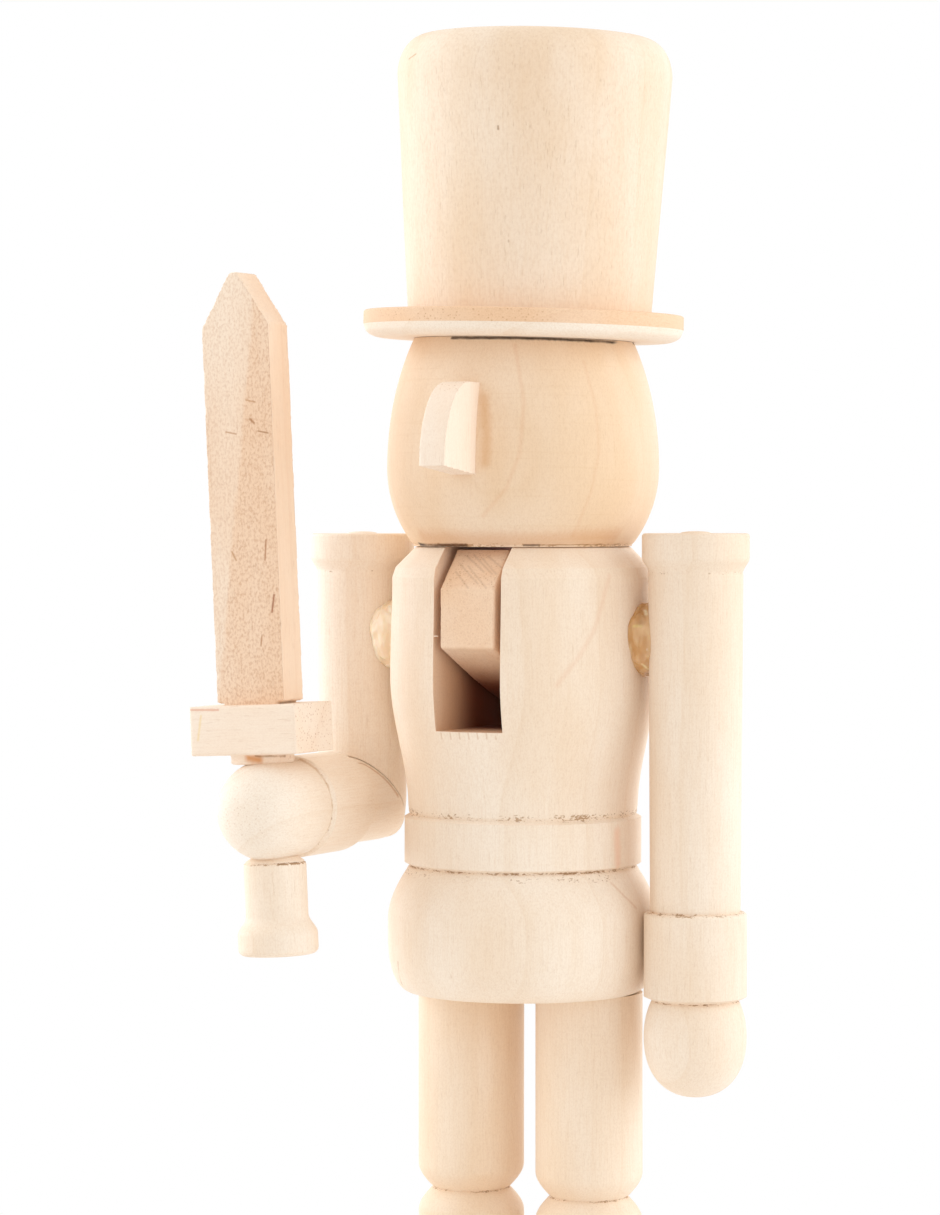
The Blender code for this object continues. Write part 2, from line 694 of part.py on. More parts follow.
def cuff_and_hand_profile(cuff_top):
    """Cuff and rounded hand below a given height."""
    radius = CUFF_DIAMETER / 2
    wrist = cuff_top - CUFF_LENGTH
    widest = (HAND_DIAMETER / 2, wrist - HAND_WIDEST)
    profile = [(SLEEVE_CUFF_DIAMETER / 2, cuff_top)]
    profile += top_edge(radius, cuff_top, CUFF_ROUND)
    profile += [(radius, wrist + CUFF_ROUND), (WRIST_DIAMETER / 2, wrist)]
    profile += barrel(widest, (WRIST_DIAMETER / 2, wrist))[-2::-1]
    profile += quarter((0.0, wrist - HAND_LENGTH), widest)[-2::-1]
    return profile


def straight_arm_profile():
    """Whole arm from the collar to the end of the hand."""
    return collar_profile() + cuff_and_hand_profile(-COLLAR_HEIGHT - SLEEVE_LENGTH)


def collar_place(side):
    """Middle of an arm's collar top; the right arm sits further back and a little lower."""
    if side == "left":
        return Vector((SIDES[side] * ARM_OFFSET, 0.0, COLLAR_LEVEL))
    return Vector((SIDES[side] * ARM_OFFSET, RIGHT_ARM_SETBACK, COLLAR_LEVEL - RIGHT_ARM_DROP))


def elbow_place():
    """Where the axes of the right arm's two halves meet."""
    return collar_place("right") - Vector((0.0, 0.0, ELBOW_DROP))


def guard_place():
    """Where the guard and the blade sit, a little aside of the sword's axis."""
    return Vector((-GUARD_SHIFT, 0.0, 0.0))


def make_left_arm():
    """Straight arm that hangs at the figure's left side."""
    mesh = lathe(straight_arm_profile(), LIMB_SIDES)
    add_piece("arm_left", mesh, TURNED_WOOD, collar_place("left"))


def forearm(margin=0.0):
    """Level forearm from past the elbow to the fist, grown by a margin, with the elbow at the origin."""
    elbow_radius = sleeve_radius(ELBOW_DROP - COLLAR_HEIGHT)
    profile = [(0.0, CUFF_DIAMETER), (elbow_radius, CUFF_DIAMETER), (elbow_radius, 0.0)]
    profile += cuff_and_hand_profile(-FOREARM_SLEEVE)
    mesh = lathe(grown(profile, margin), LIMB_SIDES)
    mesh.transform(Matrix.Rotation(-math.pi / 2, 4, "X"))
    return mesh


def make_right_arm():
    """Arm sawn through at the elbow and glued up again as a mitre, with the forearm level."""
    half_seam = MITRE * SEAM / 2
    elbow = Vector((0.0, 0.0, -ELBOW_DROP))
    past_elbow = -ELBOW_DROP - CUFF_DIAMETER
    elbow_radius = sleeve_radius(ELBOW_DROP - COLLAR_HEIGHT)
    profile = collar_profile()
    profile += [(elbow_radius, -ELBOW_DROP), (elbow_radius, past_elbow), (0.0, past_elbow)]
    upper_mesh = saw(lathe(profile, LIMB_SIDES), elbow + half_seam, -MITRE)
    add_piece("upper_arm_right", upper_mesh, TURNED_WOOD, collar_place("right"))
    return add_piece("forearm_right", saw(forearm(), -half_seam, MITRE), TURNED_WOOD, elbow_place())


def make_glue(side):
    """Bead of hot glue squeezed out between an arm and the chest."""
    sign = SIDES[side]
    place = (sign * (CHEST_DIAMETER + ARM_GAP) / 2, 0.0, SHOULDER_LEVEL - GLUE_DROP)
    mesh = ovoid(ARM_GAP / 2 + GLUE_SPREAD, GLUE_DEPTH / 2, GLUE_HEIGHT / 2, SMALL_SIDES)
    glue = add_piece("shoulder_glue_" + side, mesh, HOT_GLUE, place)
    chest = lathe(grown(torso_profile(), SEAM), BODY_SIDES)
    cut(glue, add_cutter("chest_side_" + side, chest, (0.0, 0.0, HIP_LEVEL)))
    arm = lathe(grown(straight_arm_profile(), SEAM), LIMB_SIDES)
    cut(glue, add_cutter("arm_side_" + side, arm, collar_place(side)))


# Sword


def make_guard(seat, fist_top):
    """Cross block, set aside on a short round neck cut to the fist, with a mortise in its top for the tang."""
    foot = fist_top + GUARD_NECK_HEIGHT
    guard_mesh = block(GUARD_LENGTH, GUARD_DEPTH, foot, foot + GUARD_HEIGHT)
    guard = add_piece("sword_guard", guard_mesh, SAWN_WOOD, guard_place(), seat)
    break_edges(guard, SAWN_EDGE_BREAK)
    neck_mesh = rod(GUARD_NECK_DIAMETER / 2, 0.0, foot + GUARD_WEB, LIMB_SIDES)
    neck = add_cutter("guard_neck", neck_mesh, guard_place(), seat)
    union = guard.modifiers.new("neck", "BOOLEAN")
    union.operation = "UNION"
    union.solver = "EXACT"
    union.object = neck
    cut(guard, add_cutter("fist_clearance", forearm(SEAM), elbow_place()))
    return guard


def make_blade(seat, guard, guard_top):
    """Flat blade with a blunt point, its tang in the guard."""
    foot = guard_top + SEAM
    top = foot + BLADE_LENGTH
    half_width = BLADE_WIDTH / 2
    half_tang = half_width - TANG_SHOULDER
    half_tip = BLADE_TIP_WIDTH / 2
    tang_foot = guard_top - PEG_DEPTH + DOWEL_END_PLAY
    right_side = [(half_tang, tang_foot), (half_tang, foot), (half_width, foot)]
    right_side += [(half_width, top - BLADE_POINT), (half_tip, top)]
    outline = right_side + [(-y, z) for y, z in reversed(right_side)]
    mesh = prism(outline, BLADE_THICKNESS)
    mesh.transform(Matrix.Rotation(math.pi / 2, 4, "Z"))
    blade = add_piece("sword_blade", mesh, SAWN_WOOD, guard_place(), seat)
    break_edges(blade, SAWN_EDGE_BREAK)
    mortise_length = 2 * (half_tang + DOWEL_FIT)
    mortise_depth = BLADE_THICKNESS + 2 * DOWEL_FIT
    mortise = block(mortise_length, mortise_depth, guard_top - PEG_DEPTH, guard_top + PEG_DEPTH)
    cut(guard, add_cutter("blade_mortise", mortise, guard_place(), seat))


def make_grip(seat, right_forearm, guard, fist_top):
    """Turned grip and pommel below the fist, with a peg through the fist into the guard."""
    peg_radius = PEG_DIAMETER / 2
    grip_radius = GRIP_DIAMETER / 2
    pommel_radius = POMMEL_DIAMETER / 2
    grip_top = -fist_top
    pommel_top = grip_top - GRIP_LENGTH
    foot = pommel_top - POMMEL_HEIGHT
    hole_top = fist_top + GUARD_NECK_HEIGHT + PEG_DEPTH
    peg_top = hole_top - DOWEL_END_PLAY
    profile = [(0.0, peg_top), (peg_radius - EDGE_BREAK, peg_top), (peg_radius, peg_top - EDGE_BREAK)]
    profile += [(peg_radius, grip_top), (grip_radius, grip_top)]
    profile += ease((grip_radius, pommel_top), (pommel_radius, pommel_top - POMMEL_HEIGHT / 2))
    profile += foot_edge(pommel_radius, foot, POMMEL_ROUND)
    profile += [(0.0, foot)]
    add_piece("sword_grip", lathe(profile, LIMB_SIDES), TURNED_WOOD, parent=seat)
    hole = add_cutter("peg_hole", rod(peg_radius + DOWEL_FIT, -2 * fist_top, hole_top), parent=seat)
    cut(right_forearm, hole)
    cut(guard, hole)


def make_sword(right_forearm):
    """Sword held upright through the fist, leaning a little outwards."""
    seat = bpy.data.objects.new("sword_seat", None)
    bpy.context.scene.collection.objects.link(seat)
    seat.location = elbow_place() - Vector((0.0, HAND_CENTRE, 0.0))
    seat.rotation_euler = (0.0, -SWORD_LEAN, 0.0)
    fist_top = HAND_DIAMETER / 2 + SEAM
    guard = make_guard(seat, fist_top)
    make_blade(seat, guard, fist_top + GUARD_NECK_HEIGHT + GUARD_HEIGHT)
    make_grip(seat, right_forearm, guard, fist_top)


def main():
    """Build the figure from its base up."""
    clear_scene()
    base = make_base()
    torso = make_torso()
    head = make_head(torso)
    make_nose()
    make_hat(head)
    for side in SIDES:
        make_leg(side, base, torso)
        make_glue(side)
    make_jaw(torso)
    make_left_arm()
    make_sword(make_right_arm())


main()
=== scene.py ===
"""Dress the bare wooden nutcracker: turned and sawn wood, hot glue and a white studio.

All sizes are in metres. The figure faces -Y, its own left side is +X, and it stands on z = 0.
"""

import logging
import math
from collections.abc import Callable, Iterable, Sequence
from dataclasses import dataclass, replace
from enum import Enum

import bmesh
import bpy
import numpy as np
from mathutils import Matrix, Vector, noise


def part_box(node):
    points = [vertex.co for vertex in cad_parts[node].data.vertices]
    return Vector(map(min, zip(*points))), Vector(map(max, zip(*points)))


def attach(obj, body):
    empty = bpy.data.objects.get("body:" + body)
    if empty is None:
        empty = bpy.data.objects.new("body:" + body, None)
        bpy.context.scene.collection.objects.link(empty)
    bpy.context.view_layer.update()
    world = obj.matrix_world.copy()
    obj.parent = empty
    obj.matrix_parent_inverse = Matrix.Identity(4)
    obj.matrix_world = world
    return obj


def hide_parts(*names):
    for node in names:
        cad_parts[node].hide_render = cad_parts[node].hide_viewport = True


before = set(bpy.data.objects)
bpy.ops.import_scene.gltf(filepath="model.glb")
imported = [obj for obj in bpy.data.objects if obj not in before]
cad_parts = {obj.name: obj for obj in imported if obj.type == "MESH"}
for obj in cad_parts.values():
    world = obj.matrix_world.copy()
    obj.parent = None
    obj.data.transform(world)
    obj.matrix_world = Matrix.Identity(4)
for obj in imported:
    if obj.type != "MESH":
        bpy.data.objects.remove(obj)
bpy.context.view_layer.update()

log = logging.getLogger("nutcracker")

Point = tuple[float, float]
Triple = tuple[float, float, float]
Colour = tuple[float, float, float, float]
Profile = list[Point]
Mesh = bpy.types.Mesh
Piece = bpy.types.Object
Material = bpy.types.Material
Socket = bpy.types.NodeSocket
Outputs = bpy.types.NodeOutputs

CURVE_STEPS = 18
SHARES = tuple(step / CURVE_STEPS for step in range(CURVE_STEPS + 1))
QUARTER_TURNS = tuple(math.pi / 2 * share for share in SHARES)
RING_STEP = 0.0006
TEAR_STEP = 0.00016
TEAR_CORE = 1.5
TEAR_SHIFT = 90.0
TEAR_DRIFT = ((0.45, 2.6), (0.25, 7.0))  # Strength and scale of each noise
OUT_OF_ROUND = 0.00007
FULLY_OUT_OF_ROUND = 0.02  # Radius of a piece, less on thinner ones
OVAL_TWIST = 90.0
TRIANGLE_TWIST = 140.0
LUMP_SCALE = 1.7
LUMP_SHARE = 0.4
RIPPLE_SCALE = 5.0
RIPPLE_SHARE = 0.15
SEED_WAY = (1.0, 0.7, 0.3)
BODY_SIDES = 320
LIMB_SIDES = 168
SMALL_SIDES = 48
SHARP_ANGLE = math.radians(38.0)
FRAME_SEAM = 0.0003
GLUE_LINE = 0.00006
GLUED_FOOT = GLUE_LINE - FRAME_SEAM
PIN_PLAY = 0.0002
WELD = 0.000001
MARK_STEP = 24.0  # In pixels of the photograph
LAID_ACROSS = Matrix.Rotation(math.pi / 2, 4, "Y")
LAID_FORWARD = Matrix.Rotation(-math.pi / 2, 4, "X")


# Named options


class Rider(Enum):
    """Body that a piece moves with."""

    FIGURE = "figure"
    LEVER = "lever"


class Slot(Enum):
    """Name of a material slot for a piece; it is passed along but not applied."""

    TURNED_WOOD = "turned_wood"
    SAWN_WOOD = "sawn_wood"
    HOT_GLUE = "hot_glue"
    PIN_STEEL = "pin_steel"


class Side(Enum):
    """Side of the figure, as the sign of its X."""

    LEFT = 1.0
    RIGHT = -1.0

    @property
    def word(self) -> str:
        """The side as it stands in a node's name."""
        return self.name.lower()


class Grain(Enum):
    """Way that the grain runs, as the turn that brings it upright."""

    UPRIGHT = (0.0, 0.0, 0.0)
    SIDEWAYS = (0.0, -math.pi / 2, 0.0)
    FORWARD = (math.pi / 2, 0.0, 0.0)
    DOWN_THE_TAIL = (math.radians(128.0), 0.0, 0.0)


# Measures from the frame


@dataclass(frozen=True)
class Span:
    """Box of a node in the frame."""

    low: Vector
    high: Vector

    @classmethod
    def of(cls, node: str) -> "Span":
        """Measure a node."""
        low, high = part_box(node)
        return cls(Vector(low), Vector(high))

    @property
    def size(self) -> Vector:
        """Width, depth and height of the box."""
        return self.high - self.low

    @property
    def middle(self) -> Vector:
        """Centre of the box."""
        return (self.low + self.high) / 2

    @property
    def foot(self) -> Matrix:
        """Place on the box's floor, below its centre."""
        return Matrix.Translation((self.middle.x, self.middle.y, self.low.z))


def up(height: float) -> Vector:
    """Make a vector that points up."""
    return Vector((0.0, 0.0, height))


# Profile curves, as (radius, height) points


def quarter(flat: Point, upright: Point) -> Profile:
    """Draw a quarter of an ellipse from where it runs level to where it runs upright."""
    wide, high = upright[0] - flat[0], flat[1] - upright[1]
    return [(flat[0] + wide * math.sin(turn), upright[1] + high * math.cos(turn)) for turn in QUARTER_TURNS]


def top_edge(radius: float, top: float, rounding: float) -> Profile:
    """Draw the rounded upper edge of a turned step, from its flat top to its side."""
    return quarter((radius - rounding, top), (radius, top - rounding))


def foot_edge(radius: float, foot: float, rounding: float) -> Profile:
    """Draw the rounded lower edge of a turned step, from its side to its flat foot."""
    return quarter((radius - rounding, foot), (radius, foot + rounding))[::-1]


def wave(start: Point, end: Point, come: Callable[[float], float]) -> Profile:
    """Draw a curve of even height steps, whose radius has come as far as a wave says at each share."""
    radius, height = end[0] - start[0], end[1] - start[1]
    return [(start[0] + radius * come(share), start[1] + height * share) for share in SHARES]


def swell(start: Point, end: Point) -> Profile:
    """Draw a quarter of a sine wave that leaves the start at a slope and arrives upright."""
    return wave(start, end, lambda share: math.sin(math.pi / 2 * share))


def ease(start: Point, end: Point) -> Profile:
    """Draw half of a cosine wave, upright at both ends."""
    return wave(start, end, lambda share: (1 - math.cos(math.pi * share)) / 2)


def barrel(widest: Point, end: Point, reach: float = 1.0) -> Profile:
    """Draw part of an ellipse from its widest point through an end.

    Args:
        widest: Point where the ellipse runs upright.
        end: Point that the ellipse passes through.
        reach: Share of the height to run to, more than 1 to run on past the end.

    Returns:
        The points of the curve.
    """
    drawn_in = math.sqrt(1 - (end[0] / widest[0]) ** 2)
    half_height = (end[1] - widest[1]) / drawn_in
    last = math.asin(min(drawn_in * reach, 1.0))
    points = []
    for share in SHARES:
        turn = last * share
        points.append((widest[0] * math.cos(turn), widest[1] + half_height * math.sin(turn)))
    return points


def blunt(widest: Point, end: float, fullness: float = 2.25) -> Profile:
    """Draw the rounded end of a hand, fuller than an ellipse.

    Args:
        widest: Point where the curve runs upright.
        end: Height where it meets the axis.
        fullness: Power of the curve, 2 for an ellipse.

    Returns:
        The points of the curve, from the widest point to the axis.
    """
    points = []
    for turn in QUARTER_TURNS:
        inwards = max(math.cos(turn), 0.0) ** (2 / fullness)
        onwards = math.sin(turn) ** (2 / fullness)
        points.append((widest[0] * inwards, widest[1] + (end - widest[1]) * onwards))
    points[-1] = (0.0, end)
    return points


# Mesh makers


@dataclass(frozen=True)
class Tear:
    """Ring round a turned piece where the tool lifted the fibres.

    Attributes:
        height: Level of the ring in the piece's own axes.
        reach: How far the torn fibres run above and below it.
        depth: How deep the worst of it goes.
        cover: How torn the ring is on the whole, up to 1.
        lean: How much more it is torn on one side.
        facing: Direction that the worst of it faces, from +X towards +Y.
    """

    height: float
    reach: float = 0.0006
    depth: float = 0.00012
    cover: float = 0.5
    lean: float = 0.15
    facing: float = math.radians(-65.0)

    def bands(self, heights: np.ndarray, turns: np.ndarray) -> np.ndarray:
        """Tell how torn the fibres are.

        Args:
            heights: Levels of the rows of a mesh.
            turns: Directions of its columns.

        Returns:
            0 where the surface is sound, up to 1, for each row and column.
        """
        nearness = np.clip(TEAR_CORE - TEAR_CORE * np.abs(heights - self.height) / self.reach, 0.0, 1.0)
        level = np.full_like(turns, TEAR_SHIFT * self.height)
        around = np.stack([np.cos(turns), np.sin(turns), level], axis=-1)
        drift = sum(share * noise_at(around * scale) for share, scale in TEAR_DRIFT)
        torn = np.clip(self.cover + self.lean * np.cos(turns - self.facing) + drift, 0.0, 1.0)
        return nearness[:, None] * torn[None, :]


def evened(profile: Sequence[Point], tears: Sequence[Tear]) -> Profile:
    """Add points to a profile so that no step is long, with short steps where fibres are torn.

    Args:
        profile: Points of the profile.
        tears: Rings that need a fine mesh.

    Returns:
        The profile with points added between its own.
    """
    points = [profile[0]]
    for (radius, height), (next_radius, next_height) in zip(profile, profile[1:]):
        middle = (height + next_height) / 2
        half = abs(next_height - height) / 2
        torn = any(abs(middle - tear.height) < tear.reach + half for tear in tears)
        length = math.hypot(next_radius - radius, next_height - height)
        count = max(1, math.ceil(length / (TEAR_STEP if torn else RING_STEP)))
        for index in range(1, count + 1):
            share = index / count
            points.append((radius + (next_radius - radius) * share, height + (next_height - height) * share))
    return points


def closed_mesh(verts: np.ndarray, faces: Iterable[Sequence[int]]) -> Mesh:
    """Make a smooth-shaded mesh with its faces pointing out.

    Args:
        verts: Corner places, one row each.
        faces: Corner numbers of each face.

    Returns:
        The mesh.
    """
    mesh = bpy.data.meshes.new("shape")
    mesh.from_pydata(verts.tolist(), [], list(faces))
    shape = bmesh.new()
    shape.from_mesh(mesh)
    bmesh.ops.recalc_face_normals(shape, faces=shape.faces)
    shape.to_mesh(mesh)
    shape.free()
    shade(mesh)
    return mesh


def shade(mesh: Mesh) -> None:
    """Shade a mesh smooth, with its real corners left sharp."""
    mesh.shade_smooth()
    mesh.set_sharp_from_angle(angle=SHARP_ANGLE)


def turned(profile: Sequence[Point], sides: int, seed: float, tears: Sequence[Tear] = ()) -> Mesh:
    """Turn a profile about Z, a little out of round, with torn rings in it.

    Args:
        profile: Points from the top of the axis down to its foot.
        sides: Faces round the piece.
        seed: Number that sets this piece's own faults.
        tears: Rings where the fibres are torn.

    Returns:
        A closed mesh whose "torn" attribute marks the torn fibres.
    """
    inner = [point for point in evened(profile, tears) if point[0] > WELD]
    radii = np.array([radius for radius, _ in inner])[:, None]
    heights = np.array([height for _, height in inner])[:, None]
    turns = np.linspace(0.0, math.tau, sides, endpoint=False)[None, :]
    oval = np.sin(2 * turns + seed + OVAL_TWIST * heights)
    triangle = np.sin(3 * turns - 2 * seed - TRIANGLE_TWIST * heights)
    waver = (oval + triangle + 2.0) / 4.0
    rounds = radii - OUT_OF_ROUND * waver * np.minimum(radii / FULLY_OUT_OF_ROUND, 1.0)
    grid = np.stack([rounds * np.cos(turns), rounds * np.sin(turns), heights + 0.0 * turns], axis=-1)
    torn = np.zeros(grid.shape[:2])
    for tear in tears:
        band = tear.bands(heights[:, 0], turns[0])
        torn = np.maximum(torn, band)
        grid[..., :2] *= (1 - band * tear.depth / np.maximum(rounds, WELD))[..., None]
    count = len(inner)
    top = (0.0, 0.0, profile[0][1])
    foot = (0.0, 0.0, profile[-1][1])
    verts = np.concatenate([grid.reshape(-1, 3), [top, foot]])
    corner = np.arange(count * sides).reshape(count, sides)
    beside = np.roll(corner, -1, axis=1)
    quads = np.stack([corner[:-1], corner[1:], beside[1:], beside[:-1]], axis=-1).reshape(-1, 4)
    top_fan = [(count * sides, a, b) for a, b in zip(corner[0], beside[0])]
    foot_fan = [(count * sides + 1, b, a) for a, b in zip(corner[-1], beside[-1])]
    mesh = closed_mesh(verts, quads.tolist() + top_fan + foot_fan)
    attribute = mesh.attributes.new("torn", "FLOAT", "POINT")
    attribute.data.foreach_set("value", np.append(torn.ravel(), [0.0, 0.0]))
    return mesh


def pole(radius: float, half_length: float, sides: int) -> Mesh:
    """Turn a plain rod about Z, with its middle at the origin."""
    upper = [(0.0, half_length), (radius, half_length)]
    return turned(upper + [(radius, -half_length), (0.0, -half_length)], sides, 0.0)


def prism(outline: Sequence[Point], thickness: float) -> Mesh:
    """Push an outline in the YZ plane out along X.

    Args:
        outline: Corners of the outline, in order.
        thickness: How thick it becomes, half of it on either side of x = 0.

    Returns:
        The closed solid.
    """
    count = len(outline)
    half = thickness / 2
    near = [(-half, y, z) for y, z in outline]
    far = [(half, y, z) for y, z in outline]
    sides = [(i, (i + 1) % count, count + (i + 1) % count, count + i) for i in range(count)]
    faces = [tuple(range(count)), tuple(range(count, 2 * count))] + sides
    return closed_mesh(np.array(near + far), faces)


def rounded_outline(corners: Sequence[Triple]) -> Profile:
    """Draw a closed outline whose corners are arcs.

    Args:
        corners: Place of each corner and the radius of its arc, 0 for a sharp one.

    Returns:
        The points of the outline.
    """
    outline = []
    for index, (y, z, radius) in enumerate(corners):
        if radius == 0.0:
            outline.append((y, z))
            continue
        corner = Vector((y, z))
        before = (Vector(corners[index - 1][:2]) - corner).normalized()
        after = (Vector(corners[(index + 1) % len(corners)][:2]) - corner).normalized()
        half_angle = before.angle(after) / 2
        centre = corner + (before + after).normalized() * (radius / math.sin(half_angle))
        tangent = radius / math.tan(half_angle)
        first = corner + before * tangent - centre
        last = corner + after * tangent - centre
        start = math.atan2(first.y, first.x)
        sweep = math.remainder(math.atan2(last.y, last.x) - start, math.tau)
        for share in SHARES:
            turn = start + sweep * share
            outline.append((centre.x + radius * math.cos(turn), centre.y + radius * math.sin(turn)))
    return outline


def rounded_path(points: Sequence[Point], radius: float) -> Profile:
    """Round the inner corners of an open path with arcs of one radius."""
    inner = [(*point, radius) for point in points[1:-1]]
    return rounded_outline([(*points[0], 0.0), *inner, (*points[-1], 0.0)])


def saw(mesh: Mesh, point: Vector, normal: Vector) -> None:
    """Take off what lies beyond a plane, and close the cut.

    Args:
        mesh: The closed mesh to cut.
        point: Place on the plane.
        normal: Direction across the plane, towards the waste.
    """
    shape = bmesh.new()
    shape.from_mesh(mesh)
    geometry = shape.verts[:] + shape.edges[:] + shape.faces[:]
    result = bmesh.ops.bisect_plane(shape, geom=geometry, plane_co=point, plane_no=normal, clear_outer=True)
    rim = [item for item in result["geom_cut"] if isinstance(item, bmesh.types.BMEdge)]
    bmesh.ops.edgeloop_fill(shape, edges=rim)
    bmesh.ops.recalc_face_normals(shape, faces=shape.faces)
    shape.to_mesh(mesh)
    shape.free()
    shade(mesh)


def in_scene(name: str, data: bpy.types.ID) -> Piece:
    """Put data in the scene as an object.

    Args:
        name: Name of the object.
        data: Mesh, lamp or camera that it holds.

    Returns:
        The object.
    """
    holder = bpy.data.objects.new(name, data)
    bpy.context.scene.collection.objects.link(holder)
    return holder


def settled(mesh: Mesh, kind: str, **settings: object) -> Mesh:
    """Run a modifier on a mesh and keep what it makes.

    Args:
        mesh: The mesh to change, which is used up.
        kind: Blender's name for the modifier.
        settings: Its settings.

    Returns:
        The changed mesh.
    """
    carrier = in_scene("carrier", mesh)
    modifier = carrier.modifiers.new(kind.lower(), kind)
    for name, value in settings.items():
        setattr(modifier, name, value)
    graph = bpy.context.evaluated_depsgraph_get()
    result = bpy.data.meshes.new_from_object(
        carrier.evaluated_get(graph), preserve_all_data_layers=True, depsgraph=graph
    )
    bpy.data.objects.remove(carrier)
    bpy.data.meshes.remove(mesh)
    return result


def carved(mesh: Mesh, tool: Mesh, keep_tool_finish: bool = False) -> Mesh:
    """Cut one mesh out of another.

    Args:
        mesh: The mesh to cut, which is used up.
        tool: The shape to take away, which is used up.
        keep_tool_finish: Whether the cut faces take the tool's materials.

    Returns:
        The cut mesh.
    """
    cutter = in_scene("cutter", tool)
    cutter.hide_render = True
    mode = "TRANSFER" if keep_tool_finish else "INDEX"
    how = {"operation": "DIFFERENCE", "solver": "EXACT", "material_mode": mode}
    result = settled(mesh, "BOOLEAN", object=cutter, **how)
    bpy.data.objects.remove(cutter)
    bpy.data.meshes.remove(tool)
    shade(result)
    return result


@dataclass(frozen=True)
class SawnWear:
    """Roughness that a saw and a quick sanding leave.

    Attributes:
        voxel: Spacing of the fine mesh.
        rough: Depth of the torn fibres on the faces.
        chip: Depth of the chips along the edges.
        grain_length: How long a torn fibre is.
        edge_gain: How soon a bent surface counts as an edge.
        fine_scale, coarse_scale: Fibres and chips in a fibre's length.
        ragged: Share of the fibres in the chips.
    """

    voxel: float = 0.0003
    rough: float = 0.00005
    chip: float = 0.0002
    grain_length: float = 0.0012
    edge_gain: float = 4.0
    fine_scale: float = 2.0
    coarse_scale: float = 0.4
    ragged: float = 0.35

    def applied(self, mesh: Mesh, seed: float) -> Mesh:
        """Give a sawn solid its fine mesh, its rough faces and its chipped edges.

        Args:
            mesh: A closed solid, which is used up.
            seed: Number that sets this piece's own wear.

        Returns:
            The worn mesh, nowhere outside the solid.
        """
        worn = settled(mesh, "REMESH", mode="VOXEL", voxel_size=self.voxel, use_smooth_shade=True)
        count = len(worn.vertices)
        places = np.empty(count * 3)
        normals = np.empty(count * 3)
        worn.vertices.foreach_get("co", places)
        worn.vertices.foreach_get("normal", normals)
        places = places.reshape(-1, 3)
        normals = normals.reshape(-1, 3)
        edge = np.minimum((1 - np.abs(normals).max(axis=1)) * self.edge_gain, 1.0)
        fine = noise_at(places * self.fine_scale / self.grain_length + seed)
        coarse = noise_at(places * self.coarse_scale / self.grain_length - seed)
        chips = np.maximum(coarse + self.ragged * fine, 0.0)
        depth = self.rough * (0.5 + 0.5 * fine) + self.chip * edge * chips
        worn.vertices.foreach_set("co", (places - normals * depth[:, None]).ravel())
        worn.update()
        worn.shade_smooth()
        return worn


def noise_at(places: np.ndarray) -> np.ndarray:
    """Look up smooth noise at many places, from -1 to 1."""
    return np.array([noise.noise(Vector(place)) for place in places])


def lump(half_sizes: Triple, uneven: float, seed: float, rows: int = 5) -> Mesh:
    """Make an uneven drop.

    Args:
        half_sizes: Half of its width, depth and height.
        uneven: Share by which its surface sinks in.
        seed: Number that sets its form.
        rows: How often the round shape is divided.

    Returns:
        The mesh, round the origin and nowhere outside the half sizes.
    """
    shape = bmesh.new()
    bmesh.ops.create_icosphere(shape, subdivisions=rows, radius=1.0)
    shift = Vector((seed, -seed, 2 * seed))
    for vertex in shape.verts:
        broad = noise.noise(vertex.co * LUMP_SCALE + shift)
        fine = noise.noise(vertex.co * RIPPLE_SCALE - shift)
        scale = 1 - uneven * (0.5 + LUMP_SHARE * broad + RIPPLE_SHARE * fine)
        vertex.co = Vector([part * half * scale for part, half in zip(vertex.co, half_sizes)])
    mesh = bpy.data.meshes.new("lump")
    shape.to_mesh(mesh)
    shape.free()
    mesh.shade_smooth()
    return mesh


def weld(mesh: Mesh, other: Mesh) -> None:
    """Add one mesh to another.

    Args:
        mesh: The mesh that grows.
        other: The mesh to add, which is used up.
    """
    shape = bmesh.new()
    shape.from_mesh(mesh)
    shape.from_mesh(other)
    shape.to_mesh(mesh)
    shape.free()
    bpy.data.meshes.remove(other)


# Shader sheets and shared effects


def linear(code: str) -> Colour:
    """Turn a hex colour into the linear colour that shaders take.

    Args:
        code: Colour as it shows, "#" and two hex digits each for red, green and blue.

    Returns:
        The colour with full alpha.
    """
    parts = [int(code[index:index + 2], 16) / 255 for index in (1, 3, 5)]
    lit = [part / 12.92 if part <= 0.04045 else ((part + 0.055) / 1.055) ** 2.4 for part in parts]
    return (lit[0], lit[1], lit[2], 1.0)


